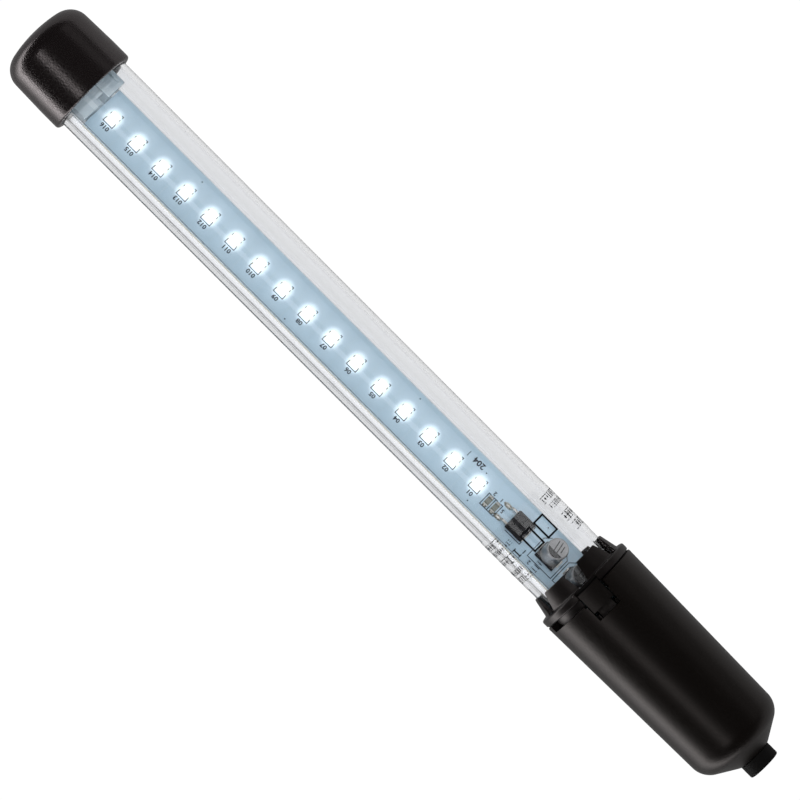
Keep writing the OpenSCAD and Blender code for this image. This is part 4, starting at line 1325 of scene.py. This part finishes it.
def canTopInk(x, y, z):  # dark segment that marks one pole, and plain bars in place of a rating
    radius = can["radius"] - 0.32
    chord = math.degrees(math.asin(0.38))
    turns = [math.radians(180 + chord + (180 - 2 * chord) * i / 24) for i in range(25)]
    segment = prism("segment",
                    [(x + radius * math.cos(turn), y + radius * math.sin(turn)) for turn in turns],
                    z, z + 0.015)
    bars = strokes("bars", [(x - 1.1, y + 1.9, x - 0.6, y - 0.9), (x - 0.1, y + 2.2, x + 0.5, y - 1.1),
                            (x + 1.0, y + 1.6, x + 1.3, y - 0.2)], 0.3, z, 0.015)
    return [segment, bars]


def makeCapacitors():
    z, y = board["face"] + can["foot"], can["y"]
    radius, top = can["radius"], board["face"] + can["foot"] + can["height"]
    profile = [(0, z), (radius - 0.25, z), (radius, z + 0.2), (radius, z + 0.45)]
    profile += [(radius - 0.3 * math.sin(math.pi * i / 8), z + 0.45 + 0.9 * i / 8) for i in range(1, 9)]
    profile += [(radius, z + 2.2)] + [(radius - 0.3 + 0.3 * math.cos(math.pi * i / 12),
                                       top - 0.3 + 0.3 * math.sin(math.pi * i / 12)) for i in range(7)]
    profile += [(radius - 0.5, top - 0.03), (0, top - 0.03)]
    cans, bases, feet, inks = [], [], [], []
    for x in can["xs"]:
        cans.append(spun("can", x, y, profile))
        half, cut = can["base"], can["cut"]
        shape = [(-half, -half), (half, -half), (half, half - cut), (half - cut, half), (cut - half, half),
                 (-half, half - cut)]
        low = prism("base", [(x + a, y + b) for a, b in shape], board["face"] + 0.3, z)
        bases.append(low)
        for side in (-1, 1):
            reach = x + side * (half - 0.4)
            feet.append(blocks("foot", [((reach - 0.9, reach + 0.9), (y - 1.25, y + 1.25),
                                         (board["face"] + 0.02, board["face"] + 0.3))]))
        inks += canTopInk(x, y, top - 0.028)
    body = joined("capacitorCans", cans)
    smooth(body, 40)
    base = joined("capacitorBases", bases)
    roundEdges(base, 0.1)
    foot = joined("capacitorFeet", feet)
    smooth(foot, 30)
    ink = joined("capacitorPrint", inks)
    settle(paint(onBoard(body), "can"), "head", "can_aluminium", "capacitor_cans")
    settle(paint(onBoard(base), "canBase"), "head", "base_black", "capacitor_bases")
    settle(paint(onBoard(foot), "tinned"), "head", "tinned_feet", "capacitor_feet")
    settle(paint(onBoard(ink), "canInk"), "head", "can_aluminium")


makeResistors()
makeDriver()
makeCapacitors()
print("parts on the board done")

# ---------- collar ----------

collar = {"tip": 12.6, "root": 13.75, "flange": 15.5, "flangeThick": 2.2, "spigot": 13.45, "socket": 12.05,
          "web": 10.75, "gasket": 0.8, "webThick": 1.6, "grooveDepth": 1.2, "grooveBack": 5,
          "grooveWide": 2,
          "notches": 6, "notchTip": 2.55, "notchRoot": 1.65, "slotHalf": 4.0, "armHalf": 2.9, "edge": 0.22}
flangeX = tubeHigh.x - 0.2
fingerX = collarLow.x + 0.7  # the nub stands this far past the fingers
spigotX = flangeX + collar["flangeThick"]


def turnAbout(piece, turn):
    piece.data.transform(Matrix.Translation((0, 0, axisHeight * mm)) @ Matrix.Rotation(math.radians(turn),
                                                                                       4, "X"))
    return piece


def notchCutter(turn):
    tipX, rootX = fingerX, flangeX - 0.1
    tip, root = collar["notchTip"], collar["notchRoot"]
    shape = filleted([(tipX - 1, -tip - 0.35, 0), (tipX, -tip - 0.1, 0.5), (rootX, -root, 0.7),
                      (rootX, root, 0.7),
                      (tipX, tip + 0.1, 0.5), (tipX - 1, tip + 0.35, 0)])
    return turnAbout(prism("notch", shape, collar["socket"] - 1, collar["socket"] + 5), turn)


def makeCollar():
    tipX, endX = fingerX, collarHigh.x
    webX = tubeHigh.x + collar["gasket"]
    grooveX, grooveRadius = endX - collar["grooveBack"], collar["spigot"] - collar["grooveDepth"]
    outline = filleted([
        (tipX, collar["socket"], 0.1), (tipX, collar["tip"], 0.35), (flangeX - 0.3, collar["root"], 0.4),
        (flangeX, collar["flange"], 0.55), (spigotX, collar["flange"], 0.55),
                        (spigotX, collar["spigot"], 0.15),
        (grooveX, collar["spigot"], 0.12), (grooveX, grooveRadius, 0.1),
        (grooveX + collar["grooveWide"], grooveRadius, 0.1),
                        (grooveX + collar["grooveWide"], collar["spigot"], 0.12),
        (endX, collar["spigot"], 0.5), (endX, collar["socket"], 0.2),
                        (webX + collar["webThick"], collar["socket"], 0.1),
        (webX + collar["webThick"], collar["web"], 0.2), (webX, collar["web"], 0.1),
                        (webX, collar["socket"], 0)])
    piece = turned("collarRing", outline)
    up = axisHeight
    slotX, padEnd = tongueLow.x - 0.4, tongueLow.x + 6.5 + 1.3
    pivotX = tongueHigh.x - 0.6
    cutters = [notchCutter(360 * i / collar["notches"]) for i in range(collar["notches"])]
    cutters += [
        blocks("slot",
               [((slotX, padEnd), (-collar["slotHalf"], collar["slotHalf"]), (up + 10.9, up + 20))]),
        blocks("slot", [((padEnd - 1, pivotX + 0.7), (-collar["armHalf"], collar["armHalf"]),
                         (up + 11.4, up + 20))]),
        blocks("slot", [((flangeX - 0.05, slotX + 0.1), (-collar["slotHalf"], collar["slotHalf"]),
                         (up + 13.2, up + 20))])]
    carve(piece, cutters)
    roundEdges(piece, collar["edge"])
    nub = turnAbout(blocks("nub", [((tipX - 0.7, tipX + 1.2), (-0.7, 0.7), (12.2, 12.5))]), -30)
    roundEdges(nub, 0.12)
    piece = joined("collarRing", [piece, nub])
    return settle(paint(piece, "collar"), "head", "collar", "collar")


tongue = {"pin": 0.58, "pinHeight": 12.5, "half": 3.6, "armHalf": 2.5, "top": 15.5, "pad": 6.5,
          "armTop": 13.1, "armLow": 11.95, "edge": 0.22}


def makeLatchTongue():
    start, end = tongueLow.x, tongueLow.x + tongue["pad"]
    pivotX = tongueHigh.x - 0.6
    side = [(start, 13.9), (start, tongue["top"] + 0.5), (end, tongue["top"] + 0.5),
            (end, tongue["armLow"]),
            (end - 2.6, 12.6)]
    pad = turnAbout(prism("latchTongue", side, -tongue["half"], tongue["half"], "Y"), 0)
    disc = [(start - 1, 0), (start - 1, tongue["top"]), (end + 1, tongue["top"]), (end + 1, 0)]
    carve(pad, [turned("disc", disc, 256)], "INTERSECT")
    up = axisHeight
    arm = blocks("arm", [((end - 0.5, pivotX), (-tongue["armHalf"], tongue["armHalf"]),
                          (up + tongue["armLow"], up + tongue["armTop"]))])
    pin = turnAbout(prism("pin", [(pivotX + tongue["pin"] * math.cos(i * math.pi / 16),
                                   tongue["pinHeight"] + tongue["pin"] * math.sin(i * math.pi / 16))
                                  for i in range(32)], -tongue["armHalf"], tongue["armHalf"], "Y"), 0)
    carve(pad, [arm, pin], "UNION")
    roundEdges(pad, tongue["edge"])
    pad.name = "latchTongue"
    return settle(paint(pad, "tongue"), "latch", "tongue", "latch_tongue")


makeCollar()
makeLatchTongue()
print("collar and latch done")

# ---------- handle and gland ----------

handle = {"endRadius": 14.63, "shoulder": 6.7, "shoulderTurn": 58.6, "shoulderBack": 9.5, "wall": 1.8,
          "endWall": 2.2, "hole": 4.05, "bore": 13.5, "windowHalf": 3.9, "window": 7.7, "leadHalf": 4.5,
          "lead": 2.6, "pryStart": 17, "prySweep": 54, "pryDepth": 1.9, "edge": 0.2}


def makeHandleShell():
    mouthX, neckX = handleLow.x, handleHigh.x
    widest = (handleHigh.y - handleLow.y) / 2
    centre = handle["endRadius"] - handle["shoulder"]
    shoulderX = neckX - handle["shoulderBack"]
    wallX = neckX - handle["endWall"]
    fall = math.tan(math.radians(handle["shoulderTurn"]))
    outerArc = arc(shoulderX, centre, handle["shoulder"], 90, 90 - handle["shoulderTurn"], 20)
    innerArc = arc(shoulderX, centre, handle["shoulder"] - handle["wall"], 90 - handle["shoulderTurn"],
                   90, 14)
    boreEnd = collarHigh.x + 1
    outline = filleted(
        [(mouthX, handle["bore"], 0.15), (mouthX, widest, 0.5)] + [(x, r, 0) for x, r in outerArc]
        + [(neckX, outerArc[-1][1] - fall * (neckX - outerArc[-1][0]), 0.5), (neckX, handle["hole"], 0.12),
           (wallX, handle["hole"], 0.1), (wallX, innerArc[0][1] - fall * (wallX - innerArc[0][0]), 0.4)]
        + [(x, r, 0) for x, r in innerArc] + [(boreEnd + 0.5, handle["bore"] - 0.4, 0.2),
                                              (boreEnd, handle["bore"], 0.2)])
    piece = turned("handleShell", outline)
    up = axisHeight
    recess = [(mouthX - 1, handle["bore"] - 0.5), (mouthX + handle["pryDepth"], handle["bore"] - 0.5),
              (mouthX + handle["pryDepth"], widest + 1), (mouthX - 1, widest + 1)]
    carve(piece, [
        blocks("window",
               [((mouthX - 1, mouthX + handle["window"]), (-handle["windowHalf"], handle["windowHalf"]),
                           (up + 10, up + 20))]),
        blocks("lead", [((mouthX - 1.1, mouthX + handle["lead"]), (-handle["leadHalf"], handle["leadHalf"]),
                         (up + 10, up + 20))]),
        turnedPart("recess", recess, handle["pryStart"], handle["prySweep"], 24)])
    roundEdges(piece, handle["edge"])
    return settle(paint(piece, "handle"), "handle", "handle", "handle_shell")


gland = {"cord": 3.5, "stub": 5.0, "neck": 4.0, "flange": 4.7, "flangeThick": 1.8}


def makeCableGland():
    neckX = handleHigh.x
    inside = neckX - handle["endWall"] - 0.05
    outline = filleted([
        (glandLow.x, gland["cord"], 0.3), (glandLow.x, gland["flange"], 0.2),
                        (inside, gland["flange"], 0.15),
        (inside, gland["neck"], 0), (neckX + 0.05, gland["neck"], 0), (neckX + 0.05, gland["stub"], 0.15),
        (glandHigh.x, gland["stub"], 0.55), (glandHigh.x, gland["cord"] + 0.5, 0.1),
        (glandHigh.x - 0.5, gland["cord"], 0.1)], steps=6)
    piece = turned("cableGland", outline, 128)
    smooth(piece, 45)
    return settle(paint(piece, "gland"), "handle", "gland", "cable_gland")


makeHandleShell()
makeCableGland()
print("handle done")

# ---------- pieces inside the handle ----------

inner = {  # frame node: (name of the piece, finish, slot, edge rounding)
    "bridge_body": ("bridgeBody", "epoxy", "epoxy_bridge", 0.12),
    "bridge_leads": ("bridgeLeads", "tinned", "tinned_bridge", 0.05),
    "fuse_body": ("fuseBody", "fuse", "fuse_ceramic", 0.12),
    "fuse_ends": ("fuseEnds", "tinned", "tinned_fuse", 0.15),
    "terminal_block": ("terminalBlock", "terminal", "terminal_green", 0.2),
    "terminal_clamps": ("terminalClamps", "brass", "clamp_brass", 0.12),
    "terminal_screws": ("terminalScrews", "steel", "screw_steel", 0.08),
    "wiring_carrier": ("wiringCarrier", "carrier", "carrier", 0.25),
    "cord_clamp": ("cordClamp", "carrier", "clamp_bar", 0.3),
    "clamp_screws": ("clampScrews", "steel", "clamp_screw_steel", 0.1),
}


def softened(node, name, finish, slotName, edge):  # the frame's own shape with its edges rounded
    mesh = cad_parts[node].data.copy()
    shape = bmesh.new()
    shape.from_mesh(mesh)
    bmesh.ops.remove_doubles(shape, verts=shape.verts, dist=0.001 * mm)
    bmesh.ops.dissolve_limit(shape, angle_limit=math.radians(1), verts=shape.verts, edges=shape.edges)
    shape.to_mesh(mesh)
    shape.free()
    piece = bpy.data.objects.new(name, mesh)
    scene.collection.objects.link(piece)
    roundEdges(piece, edge)
    return settle(paint(piece, finish), "head", slotName, node)


for node, (name, finish, slotName, edge) in inner.items():
    softened(node, name, finish, slotName, edge)
for node in ("collar_seal", "tube_gasket", "cap_seal"):
    paint(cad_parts[node], "rubber")
print("inner pieces done")

print("all pieces placed")
